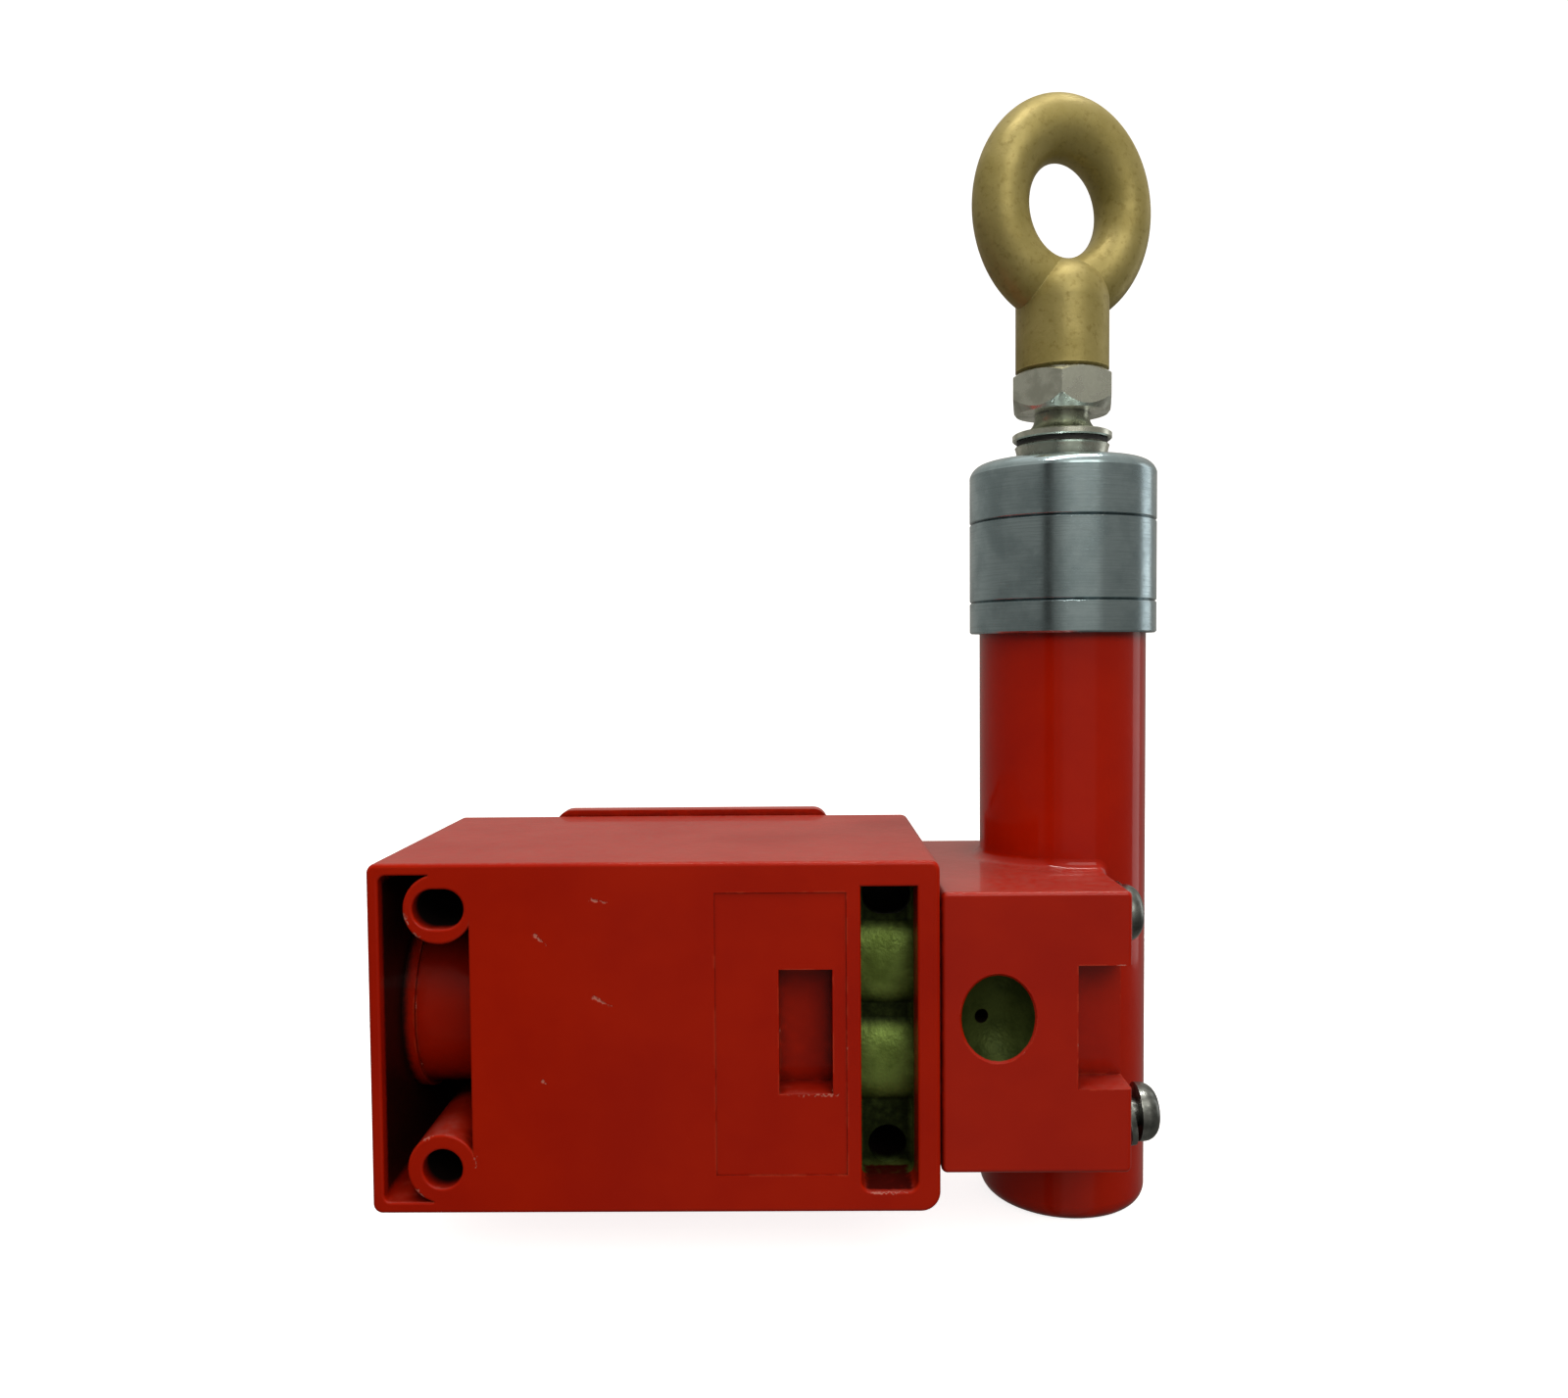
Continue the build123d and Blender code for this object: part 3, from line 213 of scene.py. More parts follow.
def make_occlusion_shade():
    """Painted shade: a mask that darkens corners and creases by how closed-in they are within
    Reach, broken up by noise.
    """
    tree, given, out = group("occlusion_shade", [
        ("Reach", NUMBER, 2.0), ("Amount", NUMBER, 0.5)], [("Mask", NUMBER)])
    open_sky = node(tree, "AmbientOcclusion", {"Distance": product(tree, given["Reach"], MM)},
                    samples=6).outputs["AO"]
    tight, clear = 0.35, 0.9
    closed = ramp(tree, open_sky, tight, clear, 1.0, 0.0)
    noise = node(tree, "TexNoise", {"Vector": object_mm(tree), "Scale": 0.6,
                                    "Detail": 4.0}).outputs[0]
    thinnest = 0.45
    cover = product(tree, closed, ramp(tree, noise, 0.25, 0.6, thinnest, 1.0))
    tree.links.new(product(tree, cover, given["Amount"]), out["Mask"])
    return tree


def make_turning_marks():
    """Fine rings that a lathe tool leaves round an upright axis, on the side and the end faces."""
    tree, given, out = group("turning_marks", [
        ("Axis", VECTOR, (0, 0, 0)), ("Pitch", NUMBER, 0.3), ("Streak", NUMBER, 0.5)],
        [("Height", NUMBER), ("Mask", NUMBER)])
    off = vectors(tree, "SUBTRACT", object_mm(tree), given["Axis"]).outputs[0]
    x, y, z = node(tree, "SeparateXYZ", {0: off}).outputs[:3]
    across = node(tree, "CombineXYZ", {0: x, 1: y, 2: 0.0}).outputs[0]
    radius = vectors(tree, "LENGTH", across).outputs[1]
    around = sums(tree, "ARCTAN2", y, x)
    rings = node(tree, "CombineXYZ", {
        0: sums(tree, "DIVIDE", radius, given["Pitch"]), 1: sums(tree, "DIVIDE", z, given["Pitch"]),
        2: product(tree, around, given["Streak"])}).outputs[0]
    noise = node(tree, "TexNoise", {"Vector": rings, "Scale": 1.0, "Detail": 3.0,
                                    "Roughness": 0.7}).outputs[0]
    tree.links.new(sums(tree, "SUBTRACT", noise, 0.5), out["Height"])
    tree.links.new(ramp(tree, noise, 0.42, 0.66), out["Mask"])
    return tree


def make_bare_area():
    """The inside of a box on the object. Ragged is how far noise moves the edge, and Soft is
    how far in the mask takes to become full, both in millimetres."""
    tree, given, out = group("bare_area", [
        ("Middle", VECTOR, (0, 0, 0)), ("Half", VECTOR, (1, 1, 1)), ("Ragged", NUMBER, 0.3),
        ("Soft", NUMBER, 0.12)], [("Mask", NUMBER)])
    place = object_mm(tree)
    off = vectors(tree, "ABSOLUTE", vectors(tree, "SUBTRACT", place, given["Middle"]).outputs[0])
    room = vectors(tree, "SUBTRACT", given["Half"], off.outputs[0]).outputs[0]
    x, y, z = node(tree, "SeparateXYZ", {0: room}).outputs[:3]
    least = sums(tree, "MINIMUM", x, sums(tree, "MINIMUM", y, z))
    noise = node(tree, "TexNoise", {"Vector": place, "Scale": 1.1, "Detail": 3.0}).outputs[0]
    swing = product(tree, sums(tree, "SUBTRACT", noise, 0.5), given["Ragged"])
    tree.links.new(ramp(tree, sums(tree, "ADD", least, swing), 0.0, given["Soft"]), out["Mask"])
    return tree


def make_wavering_line():
    """A short, wavering line that thins from one point to another, in millimetres: used both for
    scratches and for pale painted highlights along edges.
    """
    tree, given, out = group("wavering_line", [
        ("From", VECTOR, (0, 0, 0)), ("To", VECTOR, (1, 0, 0)), ("Width", NUMBER, 0.3)],
        [("Mask", NUMBER)])
    place = object_mm(tree)
    noise = node(tree, "TexNoise", {"Vector": place, "Scale": 2.2, "Detail": 2.0}).outputs["Color"]
    bent = vectors(tree, "ADD", place, vectors(tree, "SUBTRACT", noise, (0.5, 0.5, 0.5)).outputs[0])
    along = vectors(tree, "SUBTRACT", given["To"], given["From"]).outputs[0]
    start = vectors(tree, "SUBTRACT", bent.outputs[0], given["From"]).outputs[0]
    share = sums(tree, "DIVIDE", vectors(tree, "DOT_PRODUCT", start, along).outputs[1],
                 vectors(tree, "DOT_PRODUCT", along, along).outputs[1])
    share = node(tree, "Clamp", {0: share}).outputs[0]
    nearest = node(tree, "VectorMath", {0: along, "Scale": share}, operation="SCALE").outputs[0]
    away = vectors(tree, "DISTANCE", start, nearest).outputs[1]
    thin = product(tree, given["Width"], sums(tree, "SUBTRACT", 1.25, share))
    core = product(tree, thin, 0.35)
    tree.links.new(ramp(tree, away, core, thin, 1.0, 0.0), out["Mask"])
    return tree


def make_deep_hole():
    """Painted shade on the wall of a round hole or slot along Y, from the depth Dim, where daylight
    starts to fail, to the depth End. It is full from Dark on. Stretch is half a slot's straight
    length."""
    tree, given, out = group("deep_hole", [
        ("Centre", VECTOR, (0, 0, 0)), ("Radius", NUMBER, 1.0), ("Stretch", NUMBER, 0.0),
        ("Dim", NUMBER, 0.0), ("Dark", NUMBER, 5.0), ("End", NUMBER, 50.0)], [("Mask", NUMBER)])
    off = vectors(tree, "SUBTRACT", object_mm(tree), given["Centre"]).outputs[0]
    x, y, z = node(tree, "SeparateXYZ", {0: off}).outputs[:3]
    past_straight = sums(tree, "SUBTRACT", sums(tree, "ABSOLUTE", x), given["Stretch"])
    beside = sums(tree, "MAXIMUM", past_straight, 0.0)
    across = node(tree, "CombineXYZ", {0: beside, 1: 0.0, 2: z}).outputs[0]
    away = sums(tree, "SUBTRACT", vectors(tree, "LENGTH", across).outputs[1], given["Radius"])
    wall, rim = 0.05, 0.12
    inside = ramp(tree, away, wall, rim, 1.0, 0.0)
    gloom = ramp(tree, y, given["Dim"], given["Dark"])
    before_end = sums(tree, "LESS_THAN", y, given["End"])
    tree.links.new(product(tree, product(tree, inside, gloom), before_end), out["Mask"])
    return tree


EFFECTS = {made.name: made for made in (
    make_grain(), make_edge_wear(), make_upward_faces(), make_occlusion_shade(),
    make_turning_marks(), make_bare_area(), make_wavering_line(), make_deep_hole())}


def effect(tree, name, output="Mask", **inputs):
    """One shared effect placed in a material with its own values; returns the wanted output."""
    placed = node(tree, "Group")
    placed.node_tree = EFFECTS[name]
    for label, value in inputs.items():
        placed.inputs[label].default_value = value
    return placed.outputs[output]


# ---------------------------------------------------------------- materials
def material(name, **fixed):
    """A material with one Principled shader and its fixed values set on the shader."""
    made = bpy.data.materials.new(name)
    made.use_nodes = True
    shader = made.node_tree.nodes["Principled BSDF"]
    for label, value in fixed.items():
        shader.inputs[label.replace("_", " ")].default_value = value
    return made, made.node_tree, shader


def drive(tree, shader, **sources):
    """Links worked-out values to the shader's inputs."""
    for label, source in sources.items():
        tree.links.new(source, shader.inputs[label.replace("_", " ")])


def bump(tree, shader, *layers):
    """Stacks bump layers, each a height and its size in millimetres, on the shader's normal."""
    below = None
    for height, depth in layers:
        inputs = {"Height": height, "Distance": depth * MM, "Strength": 1.0}
        if below:
            inputs["Normal"] = below
        below = node(tree, "Bump", inputs).outputs[0]
    tree.links.new(below, shader.inputs["Normal"])


def everywhere(tree, name, places):
    """One effect placed several times, and the strongest of its masks at each point."""
    masks = [effect(tree, name, **place) for place in places]
    top = masks[0]
    for mask in masks[1:]:
        top = sums(tree, "MAXIMUM", top, mask)
    return top


ENAMEL = linear(186, 30, 0)
ENAMEL_DEEP = linear(176, 24, 0)
ENAMEL_THIN_AND_HIGHLIT = linear(214, 72, 44)
ENAMEL_SHADED = linear(70, 12, 4)
ENAMEL_CORNER_SHADE = linear(44, 10, 6)
HOLE_SHADE = linear(16, 6, 4)
PRIMER_AND_HIGHLIGHT = linear(216, 150, 136)
BODY_SKIN = (linear(128, 154, 76), linear(100, 122, 54))
DISH_SKIN = (linear(56, 66, 28), linear(40, 50, 18))
OLIVE_SHADED = linear(38, 44, 14)
UPWARD_GREY = linear(150, 130, 122)


def red_enamel(name, bare=(), scratch_and_highlight_lines=(), holes=(), shade_boxes=(), gloss=0.26, skin=BODY_SKIN):
    """Stoved red enamel over a die casting. bare, scratch_and_highlight_lines and holes list the
    values of the effects bare_area, wavering_line and deep_hole. Inside bare the enamel was left
    off, and skin gives the metal's two tones there. The lines are scratches, and pale painted
    highlights along some edges, and the holes get painted shade down their walls. shade_boxes
    are boxes of painted shade where the pockets fall dark, each with its tone. gloss is the
    weight of the glossy top coat."""
    made, tree, shader = material(name, IOR=1.45, Specular_IOR_Level=0.08, Coat_Roughness=0.07,
                                  Coat_IOR=1.42)
    patches = effect(tree, "grain", Size=16.0, Detail=3.0, Low=0.30, High=0.72)
    fine = effect(tree, "grain", "Height", Size=0.5, Detail=3.0)
    peel = effect(tree, "grain", "Height", Size=1.7, Detail=2.0)
    waves = effect(tree, "grain", "Height", Size=9.0, Detail=1.0)
    # A light settled dusting on upward faces, and with it a painted grey sheen on the top faces.
    upward_grey_mask = effect(tree, "upward_faces", Amount=0.40)
    # Painted shade: the two masks below darken the enamel by how closed-in it is, in tight corners
    # and in recesses up to 9 mm deep.
    corner_shade = effect(tree, "occlusion_shade", Reach=2.2, Amount=0.55)
    shade = effect(tree, "occlusion_shade", Reach=9.0, Amount=0.30)
    # Rubbed edges where the enamel runs thin, lightened further as a painted highlight along them.
    thin = effect(tree, "edge_wear", Width=0.5, Patch=4.0, Amount=0.75)
    chips = effect(tree, "edge_wear", Width=0.3, Patch=2.2, Amount=0.42)

    colour = mixed(tree, patches, ENAMEL, ENAMEL_DEEP)
    colour = mixed(tree, product(tree, thin, 0.55), colour, ENAMEL_THIN_AND_HIGHLIT)
    colour = mixed(tree, shade, colour, ENAMEL_SHADED)
    colour = mixed(tree, corner_shade, colour, ENAMEL_CORNER_SHADE)
    out_of_corners = ramp(tree, shade, 0.0, 0.25, 1.0, 0.0)
    upward_grey_mask = product(tree, upward_grey_mask, out_of_corners)
    colour = mixed(tree, upward_grey_mask, colour, UPWARD_GREY)
    colour = mixed(tree, chips, colour, PRIMER_AND_HIGHLIGHT)
    roughness = raised(tree, 0.30, patches, 0.08)
    roughness = raised(tree, roughness, upward_grey_mask, 0.5)
    chipped_and_highlit = chips
    # Scratches, and pale painted highlight lines along some edges, both in the primer's pink; they
    # also take off the top coat.
    if scratch_and_highlight_lines:
        scratched_and_highlit = everywhere(tree, "wavering_line", scratch_and_highlight_lines)
        colour = mixed(tree, product(tree, scratched_and_highlit, 0.62), colour, PRIMER_AND_HIGHLIGHT)
        chipped_and_highlit = sums(tree, "MAXIMUM", chips, scratched_and_highlit)
    coat = product(tree, rest_of(tree, chipped_and_highlit), gloss)
    heights = [(waves, 0.10), (peel, 0.035), (sums(tree, "SUBTRACT", 0.0, chipped_and_highlit), 0.06)]
    if bare:
        shown = everywhere(tree, "bare_area", bare)
        stain = effect(tree, "grain", Size=4.2, Detail=4.0, Low=0.40, High=0.66)
        # Painted shade: the bare metal darkens where it is closed in.
        deep_shade = effect(tree, "occlusion_shade", Reach=5.0, Amount=0.85)
        metal_tone = mixed(tree, stain, *skin)
        metal_tone = mixed(tree, deep_shade, metal_tone, OLIVE_SHADED)
        colour = mixed(tree, shown, colour, metal_tone)
        roughness = blended(tree, shown, roughness, 0.34)
        coat = product(tree, coat, rest_of(tree, shown))
        drive(tree, shader, Metallic=product(tree, shown, 0.35))
        heights.append((product(tree, fine, shown), 0.10))
    # Painted shade in the boxes where the pockets fall dark.
    for middle, half, soft, tone in shade_boxes:
        unlit = effect(tree, "bare_area", Middle=middle, Half=half, Ragged=0.6, Soft=soft)
        colour = mixed(tree, unlit, colour, tone)
        roughness = raised(tree, roughness, unlit, 0.2)
    # Painted shade down the walls of the holes.
    if holes:
        dark = everywhere(tree, "deep_hole", holes)
        colour = mixed(tree, dark, colour, HOLE_SHADE)
        roughness = blended(tree, dark, roughness, 0.95)
        coat = product(tree, coat, rest_of(tree, dark))
    drive(tree, shader, Base_Color=colour, Roughness=roughness, Coat_Weight=coat)
    bump(tree, shader, *heights)
    return made


def turned_zinc(name, axis):
    """Bright zinc plate over a turned ring, with tool rings and light handling marks.
    axis is a point on the upright line that it was turned about, in millimetres."""
    made, tree, shader = material(name, Metallic=1.0)
    rings = effect(tree, "turning_marks", Axis=axis, Pitch=0.28, Streak=1.6)
    lines = effect(tree, "turning_marks", "Height", Axis=axis, Pitch=0.16, Streak=0.9)
    cloud = effect(tree, "grain", Size=5.0, Detail=5.0, Low=0.38, High=0.66)
    worn = effect(tree, "edge_wear", Width=0.2, Patch=2.5, Amount=0.6)
    # Painted shade in the tight corners of the collar.
    corner_shade = effect(tree, "occlusion_shade", Reach=0.7, Amount=1.0)
    colour = mixed(tree, cloud, linear(184, 204, 210), linear(160, 180, 186))
    colour = mixed(tree, product(tree, rings, 0.30), colour, linear(140, 160, 164))
    colour = mixed(tree, worn, colour, linear(226, 232, 230))
    colour = mixed(tree, corner_shade, colour, linear(44, 50, 48))
    roughness = raised(tree, 0.16, cloud, 0.07)
    roughness = raised(tree, roughness, rings, 0.05)
    drive(tree, shader, Base_Color=colour, Roughness=roughness)
    small = effect(tree, "grain", "Height", Size=2.4, Detail=3.0)
    bump(tree, shader, (lines, 0.010), (small, 0.012))
    return made


def plated_steel(name, bright, dull, shine=0.22):
    """Plated or oiled metal of a small piece, in a bright and a dull tone. shine is its least
    roughness."""
    made, tree, shader = material(name, Metallic=1.0)
    cloud = effect(tree, "grain", Size=2.4, Detail=4.0, Low=0.36, High=0.68)
    worn = effect(tree, "edge_wear", Width=0.12, Patch=1.6, Amount=0.7)
    # Painted shade in the corners of the small pieces.
    corner_shade = effect(tree, "occlusion_shade", Reach=1.2, Amount=0.75)
    colour = mixed(tree, cloud, bright, dull)
    colour = mixed(tree, worn, colour, linear(232, 234, 230))
    colour = mixed(tree, corner_shade, colour, linear(36, 36, 32))
    roughness = raised(tree, shine, cloud, 0.16)
    drive(tree, shader, Base_Color=colour, Roughness=roughness)
    bump(tree, shader, (effect(tree, "grain", "Height", Size=1.2, Detail=3.0), 0.010))
    return made


def passivated(name):
    """Yellow passivate over a cast eye: satin and cloudy, with painted shade in the crotch and at
    the base.
    """
    made, tree, shader = material(name, Metallic=0.40, Specular_IOR_Level=0.35)
    cloud = effect(tree, "grain", Size=7.0, Detail=5.0, Low=0.34, High=0.70)
    speck = effect(tree, "grain", Size=0.9, Detail=4.0, Low=0.52, High=0.72)
    worn = effect(tree, "edge_wear", Width=0.5, Patch=3.0, Amount=0.8)
    corner_shade = effect(tree, "occlusion_shade", Reach=4.0, Amount=0.55)
    colour = mixed(tree, cloud, linear(176, 162, 100), linear(160, 146, 82))
    colour = mixed(tree, product(tree, speck, 0.45), colour, linear(128, 112, 48))
    colour = mixed(tree, worn, colour, linear(214, 202, 134))
    colour = mixed(tree, corner_shade, colour, linear(82, 70, 22))
    roughness = raised(tree, 0.42, cloud, 0.12)
    drive(tree, shader, Base_Color=colour, Roughness=roughness)
    bump(tree, shader, (effect(tree, "grain", "Height", Size=6.0, Detail=2.0), 0.16),
         (effect(tree, "grain", "Height", Size=0.55, Detail=4.0), 0.03))
    return made


def moulding(name, base, worn_tone, shine, see_through=0.0):
    """Moulded plastic or rubber with a fine eroded mould texture."""
    made, tree, shader = material(name, Transmission_Weight=see_through, IOR=1.5)
    cloud = effect(tree, "grain", Size=6.0, Detail=4.0, Low=0.35, High=0.7)
    scuffs = effect(tree, "edge_wear", Width=0.3, Patch=2.0, Amount=0.8)
    upward_grey_mask = effect(tree, "upward_faces", Amount=0.25)
    colour = mixed(tree, cloud, base, worn_tone)
    colour = mixed(tree, product(tree, scuffs, 0.4), colour, linear(150, 148, 142))
    colour = mixed(tree, upward_grey_mask, colour, UPWARD_GREY)
    roughness = raised(tree, shine, cloud, 0.15)
    drive(tree, shader, Base_Color=colour, Roughness=roughness)
    bump(tree, shader, (effect(tree, "grain", "Height", Size=0.245, Detail=3.0), 0.02))
    return made


# ---------------------------------------------------------------- marks on the castings
# Places here are in millimetres on the object. The castings face -Y, so depth runs along Y.
SLOT_X, SLOT_Z = 29.75, -0.3           # the long slot in the mounting face
SLOT_HALF_WIDTH = 4.2
long_slot = dict(Middle=(SLOT_X, 24.0, SLOT_Z), Half=(SLOT_HALF_WIDTH, 18.6, 21.6), Ragged=0.9)

DISH_FROM_JOINT, DISH_DEPTH, DISH_Z = 7.6, 3.2, 2.2
dish_x = joint_face_x / MM + DISH_FROM_JOINT
head_dish = dict(Middle=(dish_x, head_low.y / MM + DISH_DEPTH, DISH_Z), Half=(6.0, 3.0, 7.0),
                 Ragged=0.1)
# Painted shade in the small pin hole in the dish.
pin_hole = dict(Centre=(dish_x - 2.0, 0.0, 2.0), Radius=0.9, Dim=2.0, Dark=3.2, End=8.0)

# The four fixing holes. The upper two are slots, and those in the slot's floor lie deeper.
# Each fixing hole's wall gets painted shade from the depth where daylight fails.
FIXING_X, FIXING_Z, FIXING_R = 30.0, 17.5, 2.65
UPPER_STRETCH = 0.75
FIXING_FADE, FIXING_END = 2.5, 50.0
fixing_holes = [
    dict(Centre=(side * FIXING_X, 0.0, level), Radius=FIXING_R, Stretch=stretch,
         Dim=dim, Dark=dim + FIXING_FADE, End=FIXING_END)
    for side, dim in ((-1, 0.3), (1, 7.9))
    for level, stretch in ((-FIXING_Z, 0.0), (FIXING_Z, UPPER_STRETCH))]

# Each shade box is a box of painted shade where the end pocket and the long slot fall dark: its
# middle and half size, how soft its edge is, and its tone.
POCKET_SHADE, POCKET_WALL_SHADE = linear(44, 10, 5), linear(38, 9, 5)
SLOT_SHADE, SLOT_FOOT_SHADE = linear(24, 32, 12), linear(74, 12, 6)
body_shade_boxes = (
    ((-31.9, 27.6, 0.0), (6.3, 15.6, 22.05), 5.0, POCKET_SHADE),
    ((-37.9, 22.0, 0.0), (1.2, 21.0, 21.7), 1.2, POCKET_WALL_SHADE),
    ((-34.9, 22.0, 22.2), (3.0, 21.0, 1.0), 1.0, POCKET_WALL_SHADE),
    ((SLOT_X, 14.6, SLOT_Z), (SLOT_HALF_WIDTH, 8.0, 20.4), 1.4, SLOT_SHADE),
    ((SLOT_X, 5.0, -20.9), (SLOT_HALF_WIDTH, 4.4, 0.5), 0.4, SLOT_FOOT_SHADE),
)

scratches_and_edge_highlights = [dict(From=start, To=end, Width=width) for start, end, width in (
    ((-9.6, 0, 18.6), (-7.4, 0, 18.3), 0.24),
    ((-17.2, 0, 14.0), (-15.6, 0, 12.6), 0.26),
    ((-9.4, 0, 5.6), (-7.2, 0, 4.4), 0.28),
    ((-16.3, 0, -5.7), (-15.9, 0, -6.0), 0.26),
    # Pale lines along the rims of the fixing bosses: partly chipped enamel, partly painted
    # highlight.
    ((-34.5, 0.2, 16.9), (-33.8, 0.2, 14.9), 0.36),
    ((-33.2, 0.2, 14.2), (-32.0, 0.2, 13.4), 0.34),
    ((-32.4, 0.2, -13.5), (-31.2, 0.2, -13.0), 0.30),
    ((-33.5, 0.2, -20.5), (-32.3, 0.2, -21.5), 0.36),
    ((-25.6, 0.2, -16.0), (-25.4, 0.2, -18.6), 0.24),
    # Painted highlights along the lip at the foot of the long slot and the lower edge of the small
    # recess.
    ((27.4, 0.1, -20.95), (32.2, 0.1, -20.95), 0.20),
    ((23.0, 0.1, -7.75), (15.3, 0.1, -7.75), 0.16),
)]


# ---------------------------------------------------------------- a finish for every part
FINISHES = {
    "black_rubber": moulding("black_rubber_gasket", linear(30, 30, 30), linear(44, 43, 41), 0.62),
    "zinc_steel": plated_steel("zinc_plated_steel", linear(222, 226, 212), linear(192, 196, 182)),
    "zinc_collar": turned_zinc("turned_zinc_collar", (rod_x / MM, rod_y / MM, 0.0)),
    "dark_screw": plated_steel("oiled_dark_screw", linear(150, 154, 150), linear(92, 95, 92), 0.26),
    "spring_steel": plated_steel("spring_steel_wire", linear(150, 150, 148),
                                 linear(112, 112, 110), 0.30),
    "brass": plated_steel("contact_brass", linear(214, 178, 104), linear(184, 144, 72), 0.28),
    "black_moulding": moulding("black_moulding", linear(34, 34, 36), linear(48, 48, 50), 0.42),
    "white_moulding": moulding("white_moulding", linear(214, 210, 198),
                               linear(196, 190, 174), 0.40),
    "clear_lid": moulding("clear_amber_lid", linear(236, 208, 140), linear(228, 196, 120), 0.12,
                          see_through=0.85),
    "yellow_passivated": passivated("yellow_passivated_eye"),
}
ENAMELS = {
    "body_casting": red_enamel("red_enamel_body", bare=[long_slot], scratch_and_highlight_lines=scratches_and_edge_highlights,
                               holes=fixing_holes, shade_boxes=body_shade_boxes),
    "head_casting": red_enamel("red_enamel_head", bare=[head_dish], holes=[pin_hole],
                               gloss=0.55, skin=DISH_SKIN),
    "front_cover": red_enamel("red_enamel_cover"),
}
# A part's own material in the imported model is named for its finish, so the finish replaces it.
for name, piece in nodes.items():
    finish = ENAMELS.get(name) or FINISHES[piece.data.materials[0].name.split(".")[0]]
    for slot in piece.material_slots:
        slot.material = finish


# ---------------------------------------------------------------- detail pieces
def in_scene(name, data):
    """A new object for a mesh, curve, lamp or camera, linked into the scene."""
    made = bpy.data.objects.new(name, data)
    bpy.context.scene.collection.objects.link(made)
    return made


def swept_wire(name, points, radius):
    """A round wire along a line of points, as one closed mesh."""
    curve = bpy.data.curves.new(name, "CURVE")
    curve.dimensions = "3D"
    curve.bevel_depth, curve.bevel_resolution, curve.use_fill_caps = radius, 5, True
    line = curve.splines.new("POLY")
    line.points.add(len(points) - 1)
    for spot, point in zip(line.points, points):
        spot.co = (*point, 1.0)
    holder = in_scene(name + "_line", curve)
    mesh = bpy.data.meshes.new_from_object(holder.evaluated_get(
        bpy.context.evaluated_depsgraph_get()))
    bpy.data.objects.remove(holder)
    mesh.name = name
    for face in mesh.polygons:
        face.use_smooth = True
    return in_scene(name, mesh)


def finish_piece(piece, finish, body):
    """Gives a detail piece its finish, its colour slot and the body that it moves with."""
    piece.data.materials.clear()
    piece.data.materials.append(finish)
    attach(piece, body)


def return_spring():
    """The coil round the pull rod. Its end turns lie flat."""
    low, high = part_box("return_spring")
    wire_r, turns, steps_a_turn = 0.9 * MM, 10, 36
    flat_share = 0.09    # of the wire's length, at each end
    coil_r = (high.x - low.x) / 2 - wire_r
    bottom, top = low.z + wire_r, high.z - wire_r
    points = []
    for step in range(turns * steps_a_turn + 1):
        share = step / (turns * steps_a_turn)
        rise = min(max((share - flat_share) / (1 - 2 * flat_share), 0.0), 1.0)
        lift = bottom + (top - bottom) * rise
        angle = share * turns * math.tau
        points.append((rod_x + coil_r * math.cos(angle), rod_y + coil_r * math.sin(angle), lift))
    spring = swept_wire("return_spring_coil", points, wire_r)
    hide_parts("return_spring")
    finish_piece(spring, FINISHES["spring_steel"], "housing")
    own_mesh(spring)


def helical_ridge(name, centre, along, across, wall_r, crest_r, pitch, start, length, flank):
    """A screw-thread ridge of V section on a round wall, as one closed mesh.
    along is the screw's axis, start how far along it the ridge begins, and flank half the
    width of the ridge's foot."""
    steps_a_turn, turns = 48, length / pitch
    count = int(turns * steps_a_turn)
    fade_steps, least_height = steps_a_turn * 0.6, 0.04
    sunk, crest_share = 0.06 * MM, 0.16
    along, across = Vector(along), Vector(across)
    sideways = along.cross(across)
    inward = 1 if crest_r > wall_r else -1
    root_r = wall_r - inward * sunk
    points, faces = [], []
    for step in range(count + 1):
        angle = step / steps_a_turn * math.tau
        fade = min(1.0, step / fade_steps, (count - step) / fade_steps)
        out = across * math.cos(angle) + sideways * math.sin(angle)
        place = start + step / steps_a_turn * pitch
        top_r = root_r + (crest_r - root_r) * max(fade, least_height)
        for radius, shift in ((root_r, -flank), (top_r, -flank * crest_share),
                              (top_r, flank * crest_share), (root_r, flank)):
            points.append(Vector(centre) + out * radius + along * (place + shift))
    corners = 4
    for step in range(count):
        here, ahead = corners * step, corners * (step + 1)
        for corner in range(corners):
            beside = (corner + 1) % corners
            faces.append((here + corner, here + beside, ahead + beside, ahead + corner))
    faces.append(tuple(reversed(range(corners))))
    faces.append(tuple(corners * count + corner for corner in range(corners)))
    mesh = bpy.data.meshes.new(name)
    mesh.from_pydata(points, [], faces)
    mesh.validate()
    mesh.update()
    return in_scene(name, mesh)


def conduit_thread():
    """The gland thread inside the conduit entry."""
    entry_r, entry_y = 9.25 * MM, 21.8 * MM
    pitch, depth, flank = 1.5 * MM, 0.75 * MM, 0.62 * MM
    mouth, length = body_low.x + 1.4 * MM, 15.5 * MM
    thread = helical_ridge("conduit_thread", (0, entry_y, 0), (1, 0, 0), (0, 1, 0),
                           entry_r, entry_r - depth, pitch, mouth, length, flank)
    finish_piece(thread, ENAMELS["front_cover"], "housing")


return_spring()
conduit_thread()


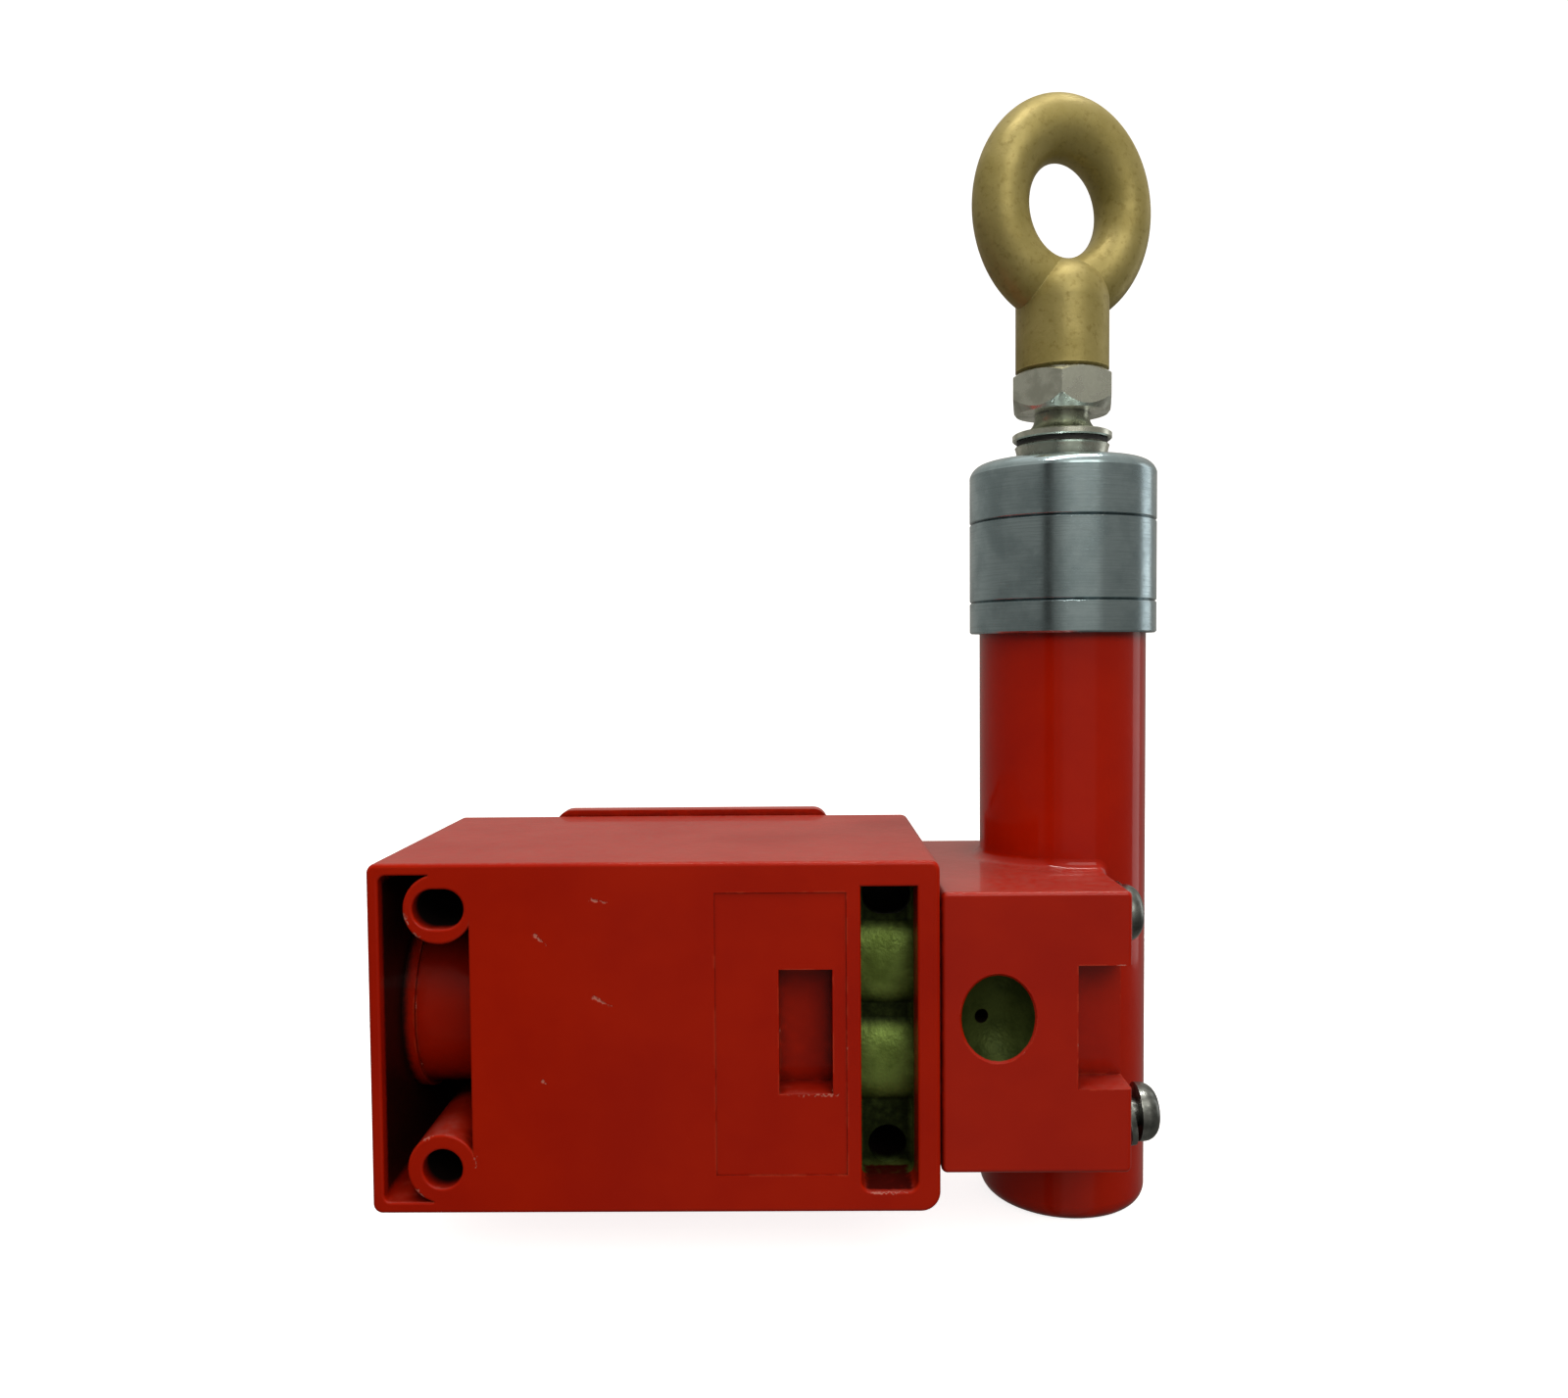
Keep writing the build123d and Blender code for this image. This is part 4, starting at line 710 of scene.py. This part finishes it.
# ---------------------------------------------------------------- floor, light and camera
def floor():
    """A pale sweep: flat under the object, curving up far behind it."""
    front, back, half_width, wall = -1.6, 1.5, 3.0, 2.4
    bend, bend_steps = 0.7, 12
    level = cad_low.z - 0.2 * MM
    profile = [(front, level), (back - bend, level)]
    for step in range(1, bend_steps + 1):
        angle = step / bend_steps * math.pi / 2
        profile.append((back - bend + bend * math.sin(angle),
                        level + bend * (1 - math.cos(angle))))
    profile.append((back, level + wall))
    points = [(side * half_width, y, z) for y, z in profile for side in (-1, 1)]
    faces = [(2 * k, 2 * k + 1, 2 * k + 3, 2 * k + 2) for k in range(len(profile) - 1)]
    mesh = bpy.data.meshes.new("pale_sweep")
    mesh.from_pydata(points, [], faces)
    for face in mesh.polygons:
        face.use_smooth = True
    paper, tree, shader = material("pale_paper", Roughness=0.9, Specular_IOR_Level=0.1,
                                   Emission_Color=(1, 1, 1, 1), Emission_Strength=0.85)
    mottle = effect(tree, "grain", Size=60.0, Detail=3.0, Low=0.3, High=0.7)
    drive(tree, shader,
          Base_Color=mixed(tree, mottle, linear(250, 250, 250), linear(247, 247, 247)))
    mesh.materials.append(paper)
    sweep = in_scene("pale_sweep", mesh)
    sweep.visible_glossy = False
    sweep.visible_diffuse = False


def soft_light(name, place, aim, width, height, power, tint=(1, 1, 1)):
    """A rectangular soft lamp at place that faces aim."""
    lamp = bpy.data.lights.new(name, "AREA")
    lamp.shape, lamp.size, lamp.size_y = "RECTANGLE", width, height
    lamp.energy, lamp.color = power, tint
    stand = in_scene(name, lamp)
    stand.location = place
    stand.rotation_mode = "QUATERNION"
    stand.rotation_quaternion = (aim - Vector(place)).to_track_quat("-Z", "Y")


def band(tree, turned, start, full, fade, end):
    """A mask over an angle: it rises from start to full, and falls from fade to end."""
    return product(tree, ramp(tree, turned, start, full), ramp(tree, turned, fade, end, 1.0, 0.0))


def room():
    """The studio round the object: white to the camera, and a soft grey room to the finishes.
    The room has one bright window and one dark gap, which the round metal reflects."""
    world = bpy.data.worlds.new("studio_room")
    bpy.context.scene.world = world
    world.use_nodes = True
    tree = world.node_tree
    tree.nodes.clear()
    way = node(tree, "TexCoord").outputs["Generated"]
    x, y, z = node(tree, "SeparateXYZ", {0: way}).outputs[:3]

    floor_level, ceiling_level, back_lift, window_lift, gap_dark = 0.12, 0.50, 0.10, 0.16, 0.85
    walls = ramp(tree, z, -0.35, 0.9, floor_level, ceiling_level)
    behind = ramp(tree, y, 0.1, 0.9, 0.0, back_lift)
    level = sums(tree, "ADD", walls, behind)
    # How far round to the right of the mounting face a direction is, in radians.
    turned = sums(tree, "ARCTAN2", x, product(tree, y, -1.0))
    level = raised(tree, level, band(tree, turned, -0.26, -0.12, 0.52, 0.66), window_lift)
    gap = band(tree, turned, -0.66, -0.56, -0.46, -0.34)
    level = product(tree, level, rest_of(tree, product(tree, gap, gap_dark)))

    grey = node(tree, "Background", {"Color": (1.0, 0.95, 0.86, 1.0), "Strength": level})
    white = node(tree, "Background", {"Color": (1, 1, 1, 1), "Strength": 1.0})
    seen = node(tree, "LightPath").outputs["Is Camera Ray"]
    mix = node(tree, "MixShader", {0: seen, 1: grey.outputs[0], 2: white.outputs[0]})
    node(tree, "OutputWorld", {"Surface": mix.outputs[0]})


def camera():
    """Stands in front of the mounting face and looks at it almost squarely."""
    lens = bpy.data.cameras.new("view")
    lens.sensor_width, lens.lens = 36.0, 26.946
    lens.clip_start, lens.clip_end = 0.005, 50.0
    place = Vector((17.45, -153.6, 51.42)) * MM
    yaw, pitch, roll = 0.0088, -0.0414, 0.0078
    turn = (Matrix.Rotation(yaw, 4, "Z") @ Matrix.Rotation(pitch, 4, "X")
            @ Matrix.Rotation(roll, 4, "Y") @ Matrix.Rotation(math.pi / 2, 4, "X"))
    stand = in_scene("view", lens)
    stand.matrix_world = Matrix.Translation(place) @ turn
    bpy.context.scene.camera = stand


floor()
room()
middle = (cad_low + cad_high) / 2
soft_light("top_light", (0.02, 0.10, 0.62), middle, width=0.60, height=0.40, power=0.20,
           tint=(1.0, 0.96, 0.92))
soft_light("top_strip", (0.08, -0.06, 0.60), middle, width=0.50, height=0.03, power=1.6,
           tint=(1.0, 0.95, 0.90))
soft_light("front_fill", (0.26, -0.62, 0.50), middle, width=0.50, height=0.40, power=1.9,
           tint=(1.0, 0.96, 0.88))
soft_light("side_light", (0.60, 0.22, 0.10), middle, width=0.20, height=0.50, power=0.30)
camera()
bpy.context.scene.view_settings.view_transform = "Standard"
